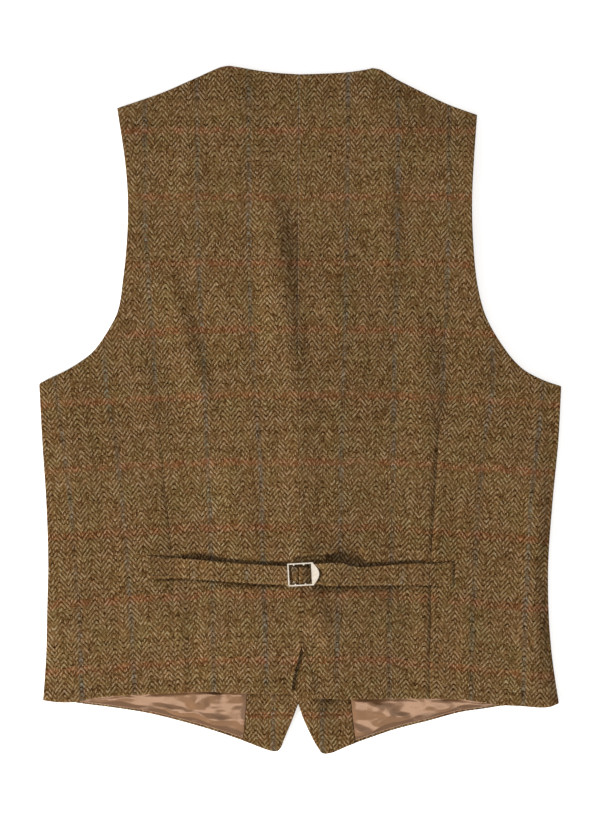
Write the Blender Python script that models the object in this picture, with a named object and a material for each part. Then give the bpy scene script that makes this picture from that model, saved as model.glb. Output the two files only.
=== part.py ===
"""Suit waistcoat in herringbone tweed, laid flat on its front with the back uppermost.

Units are metres in Blender and millimetres in the tables. X runs to the right across the back, Y runs up
from hem to neck and Z up from the surface. The origin is the middle of the garment's outline, at the surface.
"left" and "right" are the wearer's own, which lie left and right here because the garment lies face down.
Every panel is a wall of cloth: a net of points is worked out between the four edges of its cut, the net
is given its heights, and the sheet is extruded by the thickness of the cloth.
"""

import bisect
import math

import bmesh
import bpy
from mathutils import Matrix, Vector

MM = 0.001

# Driving dimensions, in millimetres.
CLOTH = 2.0            # tweed with its interlining
FACING = 1.5           # tweed facing inside each front edge
LINING = 1.0           # satin with its seam allowances
STRAP = 2.0            # strap, two layers of tweed
GAP = 0.3              # clearance between pieces that touch
WELD = 0.01            # points this close are one

BUTTON_DIAMETER = 15.0
BUTTON_THICK = 3.0
BUTTON_RIM = 1.6       # width of the raised rim
BUTTON_DISH = 0.7      # depth of the dished middle
BUTTON_ROUND = 0.5     # rounding of the rim
BUTTON_SLOPE = 1.1     # height of the sloped back
BUTTON_SIDES = 20
BUTTON_HOLE = 0.8      # radius of a thread hole
BUTTON_HOLES_OUT = 1.7 # distance of the thread holes from the middle
BUTTON_TOP_Y = 4.0
BUTTON_PITCH = 65.0
BUTTON_COUNT = 5
BUTTON_X = -0.5        # centre-front line

BREAK_Y = 20.0         # where the neckline leaves the front edge
LEFT_EDGE = 8.0        # outer front edge, beyond the centre line
RIGHT_EDGE = 9.5       # inner front edge, beyond the centre line
NECK_INSET = 3.0       # the fronts' shoulder points lie this far inside the back's
NECKLINE_BOW = 0.47    # share of its width that the neckline has covered half-way up
ARMHOLE_SCOOP = 9.0    # how much deeper the fronts' armholes are cut
HEM_TURN = 1.8         # strip of tweed that shows below the lining
LINING_INSET = 8.0     # lining stops short of the side seams
LINED_TOP_Y = -226.0   # facings and linings are built up to here, under the back
LINED_END_Y = -186.0   # the back has come down onto the fronts here

RISE_FULL, RISE_END = 14.0, 42.0      # the fronts stand over the buttons inside these distances
STEP_FULL, STEP_END = 12.5, 36.0      # the right front climbs over the left one inside these
HUMP_FULL, HUMP_END = 36.0, 82.0      # the back lies over both inside these
FLAT_TIP_Y, CLOSED_Y = -338.0, -298.0         # the fronts rise from their tips between these
CLOSED_TOP_Y, FLAT_TOP_Y = 80.0, 130.0        # and sink again between these, at the neckline
HUMP_TOP_Y, HUMP_GONE_Y = 105.0, 180.0        # the back sinks between these
NECK_OPEN_Y, NECK_TOP_Y = 50.0, 343.0         # the gap between the necklines opens from here to here
NECK_HALF_WIDTH = 74.0                        # half that gap at the top
SEAM_TURN = 7.0                       # width over which the back turns down to a seam
FOLD_END = 0.25                       # share of its length over which a fold fades out at each end
VENT_TOP_Y = -236.0

BUCKLE_X, BUCKLE_Y = 0.3, -164.3
BUCKLE_TILT = 3.0      # degrees, right side higher
BUCKLE_WIDTH = 25.6
BUCKLE_HEIGHT = 23.2
BUCKLE_BAR = 2.1
BUCKLE_THICK = 1.5
BUCKLE_ROUND = 0.35    # rounding of the metal's edges
BUCKLE_CORNER = 1.2    # radius of the frame's outer corners
BUCKLE_CLEAR = 5.2     # height of the frame above the back
PLATE_REACH = 6.0      # how far the rounded plate stands out beyond the frame
PLATE_STEPS = 12       # facets of its round edge
TOOTH = 1.3            # length and half width of the teeth that hold the strap
TEETH_HIGH = (3.8, -6.0)  # along the upper bar, from right to left
TEETH_LOW = (-5.4, 4.6)   # along the lower bar, from left to right

# Levels that follow from the thicknesses.
BUTTON_RISE = BUTTON_THICK + GAP
LAYER = CLOTH + GAP
INNER_LAYER = FACING + GAP
SLACK = 0.4            # further clearance where one panel climbs over another
SAG = 1.6              # how far the back sinks between the necklines
SAG_ENDS = (4.0, 34.0) # it sinks between these distances inside the necklines
SEAM_STEPS = 24        # pieces in which a seam's curve is measured

# The seam down the middle of the back: distance to the left of the centre line, height up.
CENTRE_SEAM = ((-1.5, VENT_TOP_Y), (0.4, -90), (2.0, 120), (0.7, 335.3))

# Edges of the cut as it lies, left and right. Columns: distance out from the centre line, height up.
ARMHOLE_BEND_Y = 75.0  # the armhole turns from across to upward about here
NECK = {
    "left": ((0.7, 335.8), (24, 337.4), (44, 340), (60, 342.8), (71, 344.5)),
    "right": ((-0.7, 335.8), (24, 336.6), (48, 338.0), (64, 340.2), (73, 342.2)),
}
SHOULDER = {
    "left": ((71, 344.5), (80, 342.8), (104, 332.2), (136, 318.2), (160, 309.6), (183, 302)),
    "right": ((73, 342.2), (81, 340.3), (96, 331.3), (120, 319.2), (148, 305.8), (177.2, 295.2)),
}
ARMHOLE = {
    "left": ((183, 302), (175, 249.5), (172, 209.5), (173, 169.5), (177, 129.5), (182, 99.5), (192, 79.5),
             (206, 59.5), (218, 49.5), (234, 39.5), (250, 32), (261, 26.4)),
    "right": ((177.2, 295.2), (173.8, 249.5), (172, 209.5), (173, 169.5), (176.7, 129.5), (183.7, 99.5),
              (193, 79.5), (206, 59.5), (214, 49.5), (225, 39.5), (244, 29.7), (261.4, 23.8)),
}
SIDE = {
    "left": ((261, 26.4), (258, -30.5), (254, -90.5), (252, -150.5), (253, -200.5), (254, -245),
             (257, -290.5)),
    "right": ((261.4, 23.8), (258.5, -30.5), (252.8, -90.5), (248.5, -150.5), (248.7, -200.5), (252, -245),
              (258.9, -293.5)),
}
VENT = {
    "left": ((-1.5, -236), (2, -250.5), (5.5, -263.5), (9, -282.5)),
    "right": ((1.5, -236), (6, -248.5), (10.6, -266.5), (17.5, -287.5)),
}
BACK_HEM = {
    "left": ((9, -282.5), (53, -282.8), (100, -281.5), (134, -283.5), (172, -285.3), (205, -288), (224, -292),
             (241, -292.3), (257, -290.5)),
    "right": ((17.5, -287.5), (51, -288.5), (120, -288.5), (161, -289.5), (198, -294.8), (222, -296.2),
              (240, -297.6), (250, -296.9), (258.9, -293.5)),
}
FRONT_HEM = {
    "left": ((22, -342.2), (32, -340.3), (56, -331.3), (88, -320.4), (120, -311.2), (152, -303.4),
             (184, -298.2), (216, -294.2), (234, -291.6), (257, -290.5)),
    "right": ((22, -344.5), (32, -343), (48, -336.2), (72, -327.4), (96, -319.4), (128, -311.2),
              (160, -302.6), (184, -299), (204, -296), (258.9, -293.5)),
}
# Signed out from the centre line on each one's own side, from the tip up to the top of the straight edge.
FRONT_EDGE = {
    "left": ((22, -342.2), (19, -337.5), (16.5, -331), (13, -322.5), (8, -310.5), (2.1, -294.5),
             (-3, -281), (-6.5, -268), (-LEFT_EDGE, -250), (-LEFT_EDGE, BREAK_Y)),
    "right": ((22, -344.5), (18, -338), (14, -331.5), (9.8, -323), (3, -307.8), (-1.4, -294.5),
              (-8, -278.5), (-9.3, -262), (-RIGHT_EDGE, -245), (-RIGHT_EDGE, BREAK_Y)),
}

# Where facing and lining meet, between the hem and the shoulder. Columns: distance out, height up.
FACING_LINE = {
    "left": ((52.5, -283), (50, -226), (48, -60), (50, 20)),
    "right": ((50.7, -289.5), (48, -226), (47, -60), (50, 20)),
}
FACING_HEM_X = {"left": 56.5, "right": 55.3}
FACING_SHOULDER_X = 99.0

# The largest folds of the back. Columns: foot x, foot y, head x, head y, half width, height.
FOLDS = (
    (-24, 70, -26, 226, 21, 2.6),      # fullness left of the centre seam
    (-101, 22, -146, 158, 17, 2.2),    # pull from the armhole to the waist
    (127, -20, 121, 112, 17, 2.2),     # fullness above the right dart
    (88, 160, 85, 232, 15, 1.2),       # soft ridge on the right shoulder blade
    (232, -250, 238, -40, 14, 1.2),    # roll beside the right side seam
)

# The straps as they lie. The left one runs through the buckle and ends under the right one, whose own
# end is held under the buckle's plate. Columns: x, upper edge y, lower edge y, height clear of the back.
STRAPS = {
    "left": (
        (-153, -145.0, -170.0, 0.0),   # sewn end
        (-126, -147.7, -169.6, 0.0),   # end of the sewn box
        (-112, -148.6, -169.3, 1.8),
        (-88, -150.8, -170.9, 2.6),
        (-54, -153.4, -172.8, 1.3),
        (-34, -154.4, -173.3, 0.8),
        (-17, -155.2, -173.6, 2.0),
        (-4, -156.1, -174.0, 2.0),     # in the window of the buckle
        (5, -156.4, -174.0, 0.8),
        (13, -156.0, -173.6, 0.1),
        (44, -156.2, -173.6, 0.1),     # free end
    ),
    "right": (
        (13.4, -152.4, -170.6, 2.4),   # end under the plate
        (28, -152.7, -171.9, 2.6),
        (46, -153.6, -174.0, 2.4),
        (56, -156.3, -175.2, 0.6),
        (68, -156.5, -176.0, 0.8),
        (84, -155.3, -176.1, 1.1),
        (102, -153.8, -176.2, 0.7),
        (119, -152.8, -176.4, 0.3),
        (128, -154.1, -176.5, 0.0),    # start of the sewn box
        (154, -151.2, -178.0, 0.0),
    ),
}
STRAP_STEP = 9.0       # spacing of a strap's stations

FINISHES = {  # base colour, roughness, metallic
    "tweed": ((0.155, 0.091, 0.040), 0.95, 0.0),
    "satin": ((0.330, 0.178, 0.095), 0.35, 0.0),
    "metal": ((0.780, 0.740, 0.680), 0.30, 1.0),
    "horn": ((0.075, 0.042, 0.022), 0.40, 0.0),
}


def ease(value, low, high):
    """0 below low, 1 above high, and a smooth step between."""
    share = min(1.0, max(0.0, (value - low) / (high - low)))
    return share * share * (3 - 2 * share)


def spline(rows):
    """A smooth curve through the rows: a function of the share of its length, from 0 to 1."""
    points = [Vector(row) for row in rows]
    along = [0.0]
    for a, b in zip(points, points[1:]):
        along.append(along[-1] + (b - a).length)

    def at(share):
        reach = share * along[-1]
        i = min(max(bisect.bisect_right(along, reach) - 1, 0), len(points) - 2)
        span = along[i + 1] - along[i]
        t = (reach - along[i]) / span
        here, there = points[i], points[i + 1]
        before = points[i - 1] if i else here * 2 - there
        after = points[i + 2] if i + 2 < len(points) else there * 2 - here
        span_before = along[i] - along[i - 1] if i else span
        span_after = along[i + 2] - along[i + 1] if i + 2 < len(points) else span
        leave = (there - before) * (span / (span + span_before))
        arrive = (after - here) * (span / (span + span_after))
        h = (2 * t**3 - 3 * t**2 + 1, t**3 - 2 * t**2 + t, -2 * t**3 + 3 * t**2, t**3 - t**2)
        return h[0] * here + h[1] * leave + h[2] * there + h[3] * arrive

    at.length = along[-1]
    return at


def share_where(curve, axis, value):
    """The share at which a curve that only rises along an axis (0 for x, 1 for y) reaches a value."""
    low, high = 0.0, 1.0
    for _ in range(40):
        middle = (low + high) / 2
        if curve(middle)[axis] < value:
            low = middle
        else:
            high = middle
    return (low + high) / 2


def joined(*curves):
    """Several curves end to end, as one function of the share of the whole length, and where they meet."""
    total = sum(curve.length for curve in curves)
    ends = [0.0]
    for curve in curves:
        ends.append(ends[-1] + curve.length / total)

    def at(share):
        i = min(max(bisect.bisect_right(ends, share) - 1, 0), len(curves) - 1)
        return curves[i]((share - ends[i]) / (ends[i + 1] - ends[i]))

    at.length = total
    return at, ends[1:-1]


def paced(curve, stops, marks):
    """The curve again, run at another pace: it is at each of its stops when the share is at that mark."""
    stops, marks = [0.0, *stops, 1.0], [0.0, *marks, 1.0]

    def at(share):
        i = min(max(bisect.bisect_right(marks, share) - 1, 0), len(marks) - 2)
        inside = (share - marks[i]) / (marks[i + 1] - marks[i])
        return curve(stops[i] + (stops[i + 1] - stops[i]) * inside)

    return at


def stations(corners, counts):
    """Shares from 0 to 1: each stretch between corners is divided into its count of equal steps."""
    shares = [0.0]
    for low, high, count in zip([0.0, *corners], [*corners, 1.0], counts):
        shares += [low + (high - low) * (k + 1) / count for k in range(count)]
    return shares


def net(inner, outer, low, high, across, up):
    """A net of points spanned between four edges, as rows of columns.

    inner and outer run up, low and high run outward, and each is a function of a share.
    """
    corners = inner(0), outer(0), inner(1), outer(1)
    rows = []
    for t in up:
        row = []
        for s in across:
            sides = (1 - s) * inner(t) + s * outer(t) + (1 - t) * low(s) + t * high(s)
            low_line = (1 - s) * corners[0] + s * corners[1]
            high_line = (1 - s) * corners[2] + s * corners[3]
            row.append(sides - (1 - t) * low_line - t * high_line)
        rows.append(row)
    return rows


def on_side(side, rows):
    """Turns distance out into X: the wearer's left lies on the left."""
    sign = -1 if side == "left" else 1
    return [[Vector((sign * p.x, p.y)) for p in row] for row in rows]


def near_line(x, y, x1, y1, x2, y2):
    """Distance from a line, signed, and the share along it."""
    run, off = Vector((x2 - x1, y2 - y1)), Vector((x - x1, y - y1))
    share = off.dot(run) / run.length_squared
    return (run.x * off.y - run.y * off.x) / run.length, share


def lined(y):
    """1 where facing and lining lie between front and back, 0 above their upper end."""
    return 1 - ease(y, LINED_TOP_Y + 2, LINED_END_Y)


def closed_front(y):
    """1 where the fronts are buttoned over each other, falling to 0 at the tips and at the neckline."""
    return ease(y, FLAT_TIP_Y, CLOSED_Y) * (1 - ease(y, CLOSED_TOP_Y, FLAT_TOP_Y))


def front_height(side):
    """Underside of a front: on the surface, up over the buttons and, on the right, up over the left front."""

    def height(x, y):
        z = BUTTON_RISE * (1 - ease(abs(x - BUTTON_X), RISE_FULL, RISE_END))
        if side == "right":
            z += (LAYER + INNER_LAYER * lined(y) + SLACK) * (1 - ease(x, STEP_FULL, STEP_END))
        return z * closed_front(y)

    return height


def neckline_half_width(y):
    """Half the gap between the two fronts' necklines, at height y."""
    return NECK_HALF_WIDTH * max(0.0, y - NECK_OPEN_Y) / (NECK_TOP_Y - NECK_OPEN_Y)


def fold_height(x, y):
    """Height of all the folds together: each is round across and fades out past its ends."""
    total = 0.0
    for x1, y1, x2, y2, half, height in FOLDS:
        off, share = near_line(x, y, x1, y1, x2, y2)
        if abs(off) < half:
            lasting = ease(share, -FOLD_END, FOLD_END) * (1 - ease(share, 1 - FOLD_END, 1 + FOLD_END))
            total += height * math.cos(off / half * math.pi / 2) ** 2 * lasting
    return total


def back_height(side):
    """Underside of the back: over the fronts, over the button stand, and down to the seams at its rim."""
    side_seam, shoulder_seam = spline(SIDE[side]), spline(SHOULDER[side])
    side_line = [side_seam(k / SEAM_STEPS) for k in range(SEAM_STEPS + 1)]
    shoulder_line = [shoulder_seam(k / SEAM_STEPS) for k in range(SEAM_STEPS + 1)]

    def gap_to(line, point):
        best = math.inf
        for a, b in zip(line, line[1:]):
            run = b - a
            share = min(1.0, max(0.0, (point - a).dot(run) / run.length_squared))
            best = min(best, (point - a - run * share).length)
        return best

    def height(x, y):
        hump = (1 - ease(abs(x - BUTTON_X), HUMP_FULL, HUMP_END)) * (1 - ease(y, HUMP_TOP_Y, HUMP_GONE_Y))
        hollow = ease(neckline_half_width(y) - abs(x), *SAG_ENDS) * (1 - hump)
        inner = INNER_LAYER * lined(y)
        over_stand = BUTTON_RISE + LAYER + inner + 2 * SLACK
        rise = inner + over_stand * hump - SAG * hollow + fold_height(x, y)
        point = Vector((abs(x), y))
        turned = ease(min(gap_to(side_line, point), gap_to(shoulder_line, point)), 0, SEAM_TURN)
        return LAYER + rise * turned

    return height


def finish(name):
    """The material of one kind of piece."""
    colour, rough, metallic = FINISHES[name]
    material = bpy.data.materials.new(name)
    material.use_nodes = True
    shader = material.node_tree.nodes["Principled BSDF"]
    shader.inputs["Base Color"].default_value = (*colour, 1)
    shader.inputs["Roughness"].default_value = rough
    shader.inputs["Metallic"].default_value = metallic
    return material


def put(name, bm, material_name):
    """Makes the object of one piece from its mesh in millimetres."""
    bmesh.ops.scale(bm, vec=(MM, MM, MM), verts=bm.verts)
    bmesh.ops.recalc_face_normals(bm, faces=bm.faces)
    mesh = bpy.data.meshes.new(name)
    bm.to_mesh(mesh)
    bm.free()
    piece = bpy.data.objects.new(name, mesh)
    piece.data.materials.append(finish(material_name))
    bpy.context.scene.collection.objects.link(piece)
    return piece


def wall(name, rows, height, thick, material_name):
    """A wall of cloth: the net at its heights, in triangles, extruded upward by its thickness."""
    bm = bmesh.new()
    points = [[bm.verts.new((p.x, p.y, height(p.x, p.y))) for p in row] for row in rows]
    faces = []
    for low, high in zip(points, points[1:]):
        for k in range(len(low) - 1):
            faces.append(bm.faces.new((low[k], high[k + 1], low[k + 1])))
            faces.append(bm.faces.new((low[k], high[k], high[k + 1])))
    grown = bmesh.ops.extrude_face_region(bm, geom=faces, use_keep_orig=True)
    raised = [item for item in grown["geom"] if isinstance(item, bmesh.types.BMVert)]
    bmesh.ops.translate(bm, vec=(0, 0, thick), verts=raised)
    return put(name, bm, material_name)


def back_panel(side):
    """Half of the back, with the centre seam, the open vent and its own armhole."""
    out = 1 if side == "left" else -1
    seam = spline([(out * x, y) for x, y in CENTRE_SEAM])
    edge, underarm = joined(spline(SIDE[side][::-1]), spline(ARMHOLE[side][::-1]))
    hem, vent_end = joined(spline(VENT[side]), spline(BACK_HEM[side]))
    top, neck_point = joined(spline(NECK[side]), spline(SHOULDER[side]))
    level = share_where(seam, 1, edge(underarm[0]).y)
    bend = share_where(edge, 1, ARMHOLE_BEND_Y)
    marks = [0.5, 0.62]
    inner = paced(seam, [level, level + 0.16], marks)
    outer = paced(edge, [underarm[0], bend], marks)
    turn = 1 - SEAM_TURN / hem.length
    vent_mark = neck_point[0] * 0.45
    low = paced(hem, [vent_end[0], turn], [vent_mark, turn])
    across = stations((vent_mark, neck_point[0], turn), (3, 4, 8, 2))
    up = stations((*marks, turn), (15, 6, 8, 2))
    rows = on_side(side, net(inner, outer, low, top, across, up))
    half_seam = GAP / 2 if side == "right" else -GAP / 2
    rows = [[Vector((p.x + half_seam, p.y)) for p in row] for row in rows]
    return wall("back_" + side, rows, back_height(side), CLOTH, "tweed")


def front(side):
    """One front, with the facing and the lining that lie on its inner side below LINED_TOP_Y."""
    neck_x, neck_y = SHOULDER[side][0]
    neck_point = (neck_x + NECK_INSET, neck_y - NECK_INSET)
    start = FRONT_EDGE[side][-1]
    middle = (start[0] + (neck_x - start[0]) * NECKLINE_BOW, (BREAK_Y + neck_y) / 2)
    edge, break_point = joined(spline(FRONT_EDGE[side]), spline((start, middle, neck_point)))
    last = len(ARMHOLE[side]) - 1
    armhole = []
    for k, (x, y) in enumerate(ARMHOLE[side]):
        armhole.append((x - ARMHOLE_SCOOP * math.sin(math.pi * k / last), y))
    outer, underarm = joined(spline(SIDE[side][::-1]), spline(armhole[::-1]))
    shoulder = spline((neck_point, *SHOULDER[side][2:]))
    hem = spline(FRONT_HEM[side])
    hem_share = share_where(hem, 0, FACING_HEM_X[side])
    shoulder_share = share_where(shoulder, 0, FACING_SHOULDER_X)
    line = spline((tuple(hem(hem_share)), *FACING_LINE[side], tuple(shoulder(shoulder_share))))

    marks = [0.004, 0.2, 0.55]
    rows_up = (1, 5, 9, 10)
    line_stop = share_where(line, 1, BREAK_Y)
    pace = []
    for curve, top_stop in ((edge, break_point[0]), (line, line_stop), (outer, underarm[0])):
        lined_stop = share_where(curve, 1, LINED_TOP_Y)
        pace.append(paced(curve, [HEM_TURN / curve.length, lined_stop, top_stop], marks))
    up = stations(marks, rows_up)
    strip = net(pace[0], pace[1],
                lambda s: hem(s * hem_share),
                lambda s: shoulder(s * shoulder_share),
                stations((), (5,)), up)
    inset = 1 - LINING_INSET / hem.length
    rest = net(pace[1], pace[2],
               lambda s: hem(hem_share + s * (1 - hem_share)),
               lambda s: shoulder(shoulder_share + s * (1 - shoulder_share)),
               stations((inset,), (8, 1)), up)
    strip, rest = on_side(side, strip), on_side(side, rest)

    height = front_height(side)
    whole = [a + b[1:] for a, b in zip(strip, rest)]
    wall("front_" + side, whole, height, CLOTH, "tweed")

    def above(x, y):
        return height(x, y) + CLOTH + GAP

    lined_rows = sum(rows_up[:2]) + 1
    wall("facing_" + side, strip[:lined_rows], above, FACING, "tweed")
    apart = GAP if side == "right" else -GAP
    lining = [[Vector((row[0].x + apart, row[0].y)), *row[1:-1]] for row in rest[1:lined_rows]]
    wall("lining_" + side, lining, above, LINING, "satin")


def strap(side):
    """A strap: stations along its length, each with an upper edge, a middle and a lower edge."""
    table = STRAPS[side]
    base = back_height(side)
    rows = []
    for start, end in zip(table, table[1:]):
        steps = max(1, round((end[0] - start[0]) / STRAP_STEP))
        for k in range(steps):
            rows.append([a + (b - a) * k / steps for a, b in zip(start, end)])
    rows.append(table[-1])
    points = [[Vector((x, low + (high - low) * k / 2)) for k in range(3)] for x, high, low, _ in rows]

    def height(x, y):
        nearest = min(rows, key=lambda row: abs(row[0] - x))
        return base(x, y) + CLOTH + GAP + nearest[3]

    return wall("strap_" + side, points, height, STRAP, "tweed")


def buckle():
    """The frame with its rounded plate and its teeth, as one outline with a window, given its thickness."""
    half_w, half_h = BUCKLE_WIDTH / 2, BUCKLE_HEIGHT / 2
    bulge = (half_h**2 + PLATE_REACH**2) / (2 * PLATE_REACH)
    spread = math.asin(half_h / bulge)
    outer = []
    for k in range(PLATE_STEPS + 1):
        turn = spread * (2 * k / PLATE_STEPS - 1)
        outer.append((half_w + PLATE_REACH - bulge * (1 - math.cos(turn)), bulge * math.sin(turn)))
    corner_x, corner_y = BUCKLE_CORNER - half_w, half_h - BUCKLE_CORNER
    for centre_y, first in ((corner_y, 90), (-corner_y, 180)):
        for degrees in range(first, first + 91, 30):
            turn = math.radians(degrees)
            outer.append((corner_x + BUCKLE_CORNER * math.cos(turn), centre_y + BUCKLE_CORNER * math.sin(turn)))
    window_x, window_y = half_w - BUCKLE_BAR, half_h - BUCKLE_BAR
    window = []
    for up, teeth in ((-1, TEETH_LOW), (1, TEETH_HIGH)):
        window.append((up * window_x, up * window_y))
        for tooth_x in teeth:
            window.append((tooth_x + up * TOOTH, up * window_y))
            window.append((tooth_x, up * (window_y - TOOTH)))
            window.append((tooth_x - up * TOOTH, up * window_y))
        window.append((-up * window_x, up * window_y))
    curve = bpy.data.curves.new("buckle", "CURVE")
    curve.dimensions = "2D"
    curve.fill_mode = "BOTH"
    curve.extrude = (BUCKLE_THICK / 2 - BUCKLE_ROUND) * MM
    curve.bevel_depth = BUCKLE_ROUND * MM
    curve.offset = -BUCKLE_ROUND * MM
    curve.bevel_resolution = 0
    for loop in (outer, window):
        line = curve.splines.new("POLY")
        line.points.add(len(loop) - 1)
        for point, (x, y) in zip(line.points, loop):
            point.co = (x * MM, y * MM, 0, 1)
        line.use_cyclic_u = True
    curve.materials.append(finish("metal"))
    piece = bpy.data.objects.new("buckle", curve)
    level = back_height("right")(BUCKLE_X, BUCKLE_Y) + CLOTH + BUCKLE_CLEAR + BUCKLE_THICK / 2
    piece.location = (BUCKLE_X * MM, BUCKLE_Y * MM, level * MM)
    piece.rotation_euler.z = math.radians(BUCKLE_TILT)
    bpy.context.scene.collection.objects.link(piece)


def button(number):
    """A four-hole button, turned from its profile, rim down on the surface."""
    radius = BUTTON_DIAMETER / 2
    profile = (
        (0, BUTTON_DISH),
        (radius - BUTTON_RIM - BUTTON_DISH, BUTTON_DISH),
        (radius - BUTTON_RIM, 0),
        (radius - BUTTON_ROUND, 0),
        (radius, BUTTON_ROUND),
        (radius, BUTTON_THICK - BUTTON_SLOPE),
        (radius - 2 * BUTTON_SLOPE, BUTTON_THICK),
        (0, BUTTON_THICK),
    )
    bm = bmesh.new()
    points = [bm.verts.new((r, 0, z)) for r, z in profile]
    edges = [bm.edges.new(pair) for pair in zip(points, points[1:])]
    bmesh.ops.spin(bm, geom=points + edges, cent=(0, 0, 0), axis=(0, 0, 1), angle=2 * math.pi,
                   steps=BUTTON_SIDES, use_merge=True)
    bmesh.ops.remove_doubles(bm, verts=bm.verts, dist=WELD)
    piece = put(f"button_{number}", bm, "horn")
    holes = bmesh.new()
    for k in range(4):
        turn = math.radians(45 + 90 * k)
        hole_x, hole_y = BUTTON_HOLES_OUT * math.cos(turn), BUTTON_HOLES_OUT * math.sin(turn)
        bmesh.ops.create_cone(holes, cap_ends=True, segments=6, radius1=BUTTON_HOLE, radius2=BUTTON_HOLE,
                              depth=2 * BUTTON_THICK,
                              matrix=Matrix.Translation((hole_x, hole_y, BUTTON_THICK / 2)))
    cutter = put(f"button_{number}_holes", holes, "horn")
    cutter.hide_render = True
    cutter.display_type = "WIRE"
    cut = piece.modifiers.new("holes", "BOOLEAN")
    cut.object = cutter
    cut.solver = "EXACT"
    for part in (piece, cutter):
        part.location = (BUTTON_X * MM, (BUTTON_TOP_Y - BUTTON_PITCH * (number - 1)) * MM, 0)


def main():
    for old in list(bpy.data.objects):
        bpy.data.objects.remove(old)
    for side in ("left", "right"):
        back_panel(side)
        front(side)
        strap(side)
    buckle()
    for number in range(1, BUTTON_COUNT + 1):
        button(number)


main()
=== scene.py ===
# %% [markdown]
# # A suit waistcoat, laid on its front
#
# A tweed waistcoat lies face down on a table, so we look at its back: two halves joined down the middle,
# each shaped by a long dart, with a small vent in the hem and a strap and buckle across the waist. Below
# the hem the fronts reach out in two points. There we see the inside of them: a strip of tweed facing
# beside the opening, and satin lining.
#
# The solids of the construction are loaded first, and they fix where everything is. This lesson adds what
# makes them cloth: round edges, folds, weave, colours and stitches.

# %% Load the frame
import math

import bmesh
import bpy
import numpy as np
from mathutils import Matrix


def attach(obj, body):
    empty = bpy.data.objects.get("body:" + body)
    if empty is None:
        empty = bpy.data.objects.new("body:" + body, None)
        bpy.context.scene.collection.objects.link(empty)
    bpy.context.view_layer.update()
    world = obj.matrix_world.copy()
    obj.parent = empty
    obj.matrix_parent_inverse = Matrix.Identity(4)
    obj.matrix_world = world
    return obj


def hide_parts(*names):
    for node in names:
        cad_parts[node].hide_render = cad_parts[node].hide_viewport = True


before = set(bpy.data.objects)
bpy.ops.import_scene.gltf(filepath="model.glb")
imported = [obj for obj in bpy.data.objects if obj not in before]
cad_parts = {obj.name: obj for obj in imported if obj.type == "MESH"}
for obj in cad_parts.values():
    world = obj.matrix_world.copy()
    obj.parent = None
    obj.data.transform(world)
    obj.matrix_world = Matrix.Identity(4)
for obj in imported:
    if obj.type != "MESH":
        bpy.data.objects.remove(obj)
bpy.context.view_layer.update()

print("solids:", ", ".join(sorted(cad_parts)))

# %% [markdown]
# ## Camera
#
# The waistcoat is seen straight from above. A wide lens close by would show the middle larger than the hem,
# and an orthographic camera would lose all depth. A long lens a few metres up is what a studio uses for
# clothes that lie flat, and its distance follows from how much of the table the picture takes in.

# %% The camera
MM = 0.001
LENS, SENSOR = 150.0, 36.0     # millimetres
PICTURE_HEIGHT = 0.820         # metres of table that the picture takes in, at the height of the cloth
CLOTH_LEVEL = 0.005

scene = bpy.context.scene

def added(name, data):
    """A new object in the scene."""
    thing = bpy.data.objects.new(name, data)
    scene.collection.objects.link(thing)
    return thing

camera = scene.camera = added("camera", bpy.data.cameras.new("camera"))
camera.data.lens, camera.data.sensor_width = LENS, SENSOR
camera.location.z = CLOTH_LEVEL + PICTURE_HEIGHT * LENS / SENSOR
print("camera height in m:", round(camera.location.z, 3))

# %% [markdown]
# ## Table and light
#
# Tweed is matt, so light mostly shows its folds: one soft lamp low on the left, towards the hem, models
# them, a weak one on the right keeps the shadows open, and a pale sky fills the rest. The satin and the
# buckle need something to mirror: a wide, dim window straight above. The pale table glows a little, as a
# light table does, so that the shadow on it stays faint. Blender's standard view keeps the colours as they
# are mixed.

# %% The table and the light
TABLE_SIDE, TABLE_Z = 16.0, -0.0003      # metres
TABLE_GLOW = 0.6                         # light from a lit table, which keeps shadows pale
LAMPS = {   # place and side in metres, watts, colour
    "key_lamp": ((-4.3, -3.6, 3.3), 1.5, 650, (1.0, 0.985, 0.955)),
    "fill_lamp": ((1.9, 1.1, 2.6), 1.8, 3, (1.0, 0.99, 0.98)),
    "window_above": ((0, -0.35, 3.8), 2.2, 20, (1.0, 0.99, 0.97)),
}

def shade(red, green, blue):
    """A colour as it is read off a screen, 0 to 255, turned into the linear light that shaders work in."""
    parts = np.array([red, green, blue]) / 255
    linear = np.where(parts < 0.04045, parts / 12.92, ((parts + 0.055) / 1.055) ** 2.4)
    return (*linear.tolist(), 1.0)

def set_inputs(node, **values):
    """Set sockets of a node. A socket's name is given with _ for a space."""
    for label, value in values.items():
        node.inputs[label.replace("_", " ")].default_value = value

def new_material(name, **settings):
    """A material, its node tree and its Principled shader, with settings of the shader's sockets."""
    material = bpy.data.materials.new(name)
    material.use_nodes = True
    shader = material.node_tree.nodes["Principled BSDF"]
    set_inputs(shader, **settings)
    return material, material.node_tree, shader

def lamp(name, place, side, watts, colour):
    """A square soft lamp that looks at the middle of the waistcoat."""
    light = bpy.data.lights.new(name, "AREA")
    light.size, light.energy, light.color = side, watts, colour
    holder = added(name, light)
    holder.location = place
    holder.rotation_mode = "QUATERNION"
    holder.rotation_quaternion = (-holder.location).to_track_quat("-Z", "Y")
    return holder

half = TABLE_SIDE / 2
corners = [(-half, -half, 0), (half, -half, 0), (half, half, 0), (-half, half, 0)]
table_mesh = bpy.data.meshes.new("table")
table_mesh.from_pydata(corners, [], [(0, 1, 2, 3)])
table = added("table", table_mesh)
table.location.z = TABLE_Z
paper, _, _ = new_material("paper", Base_Color=(0.9, 0.9, 0.9, 1), Roughness=0.9,
                           Emission_Color=(1, 1, 1, 1), Emission_Strength=TABLE_GLOW)
table_mesh.materials.append(paper)

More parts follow.
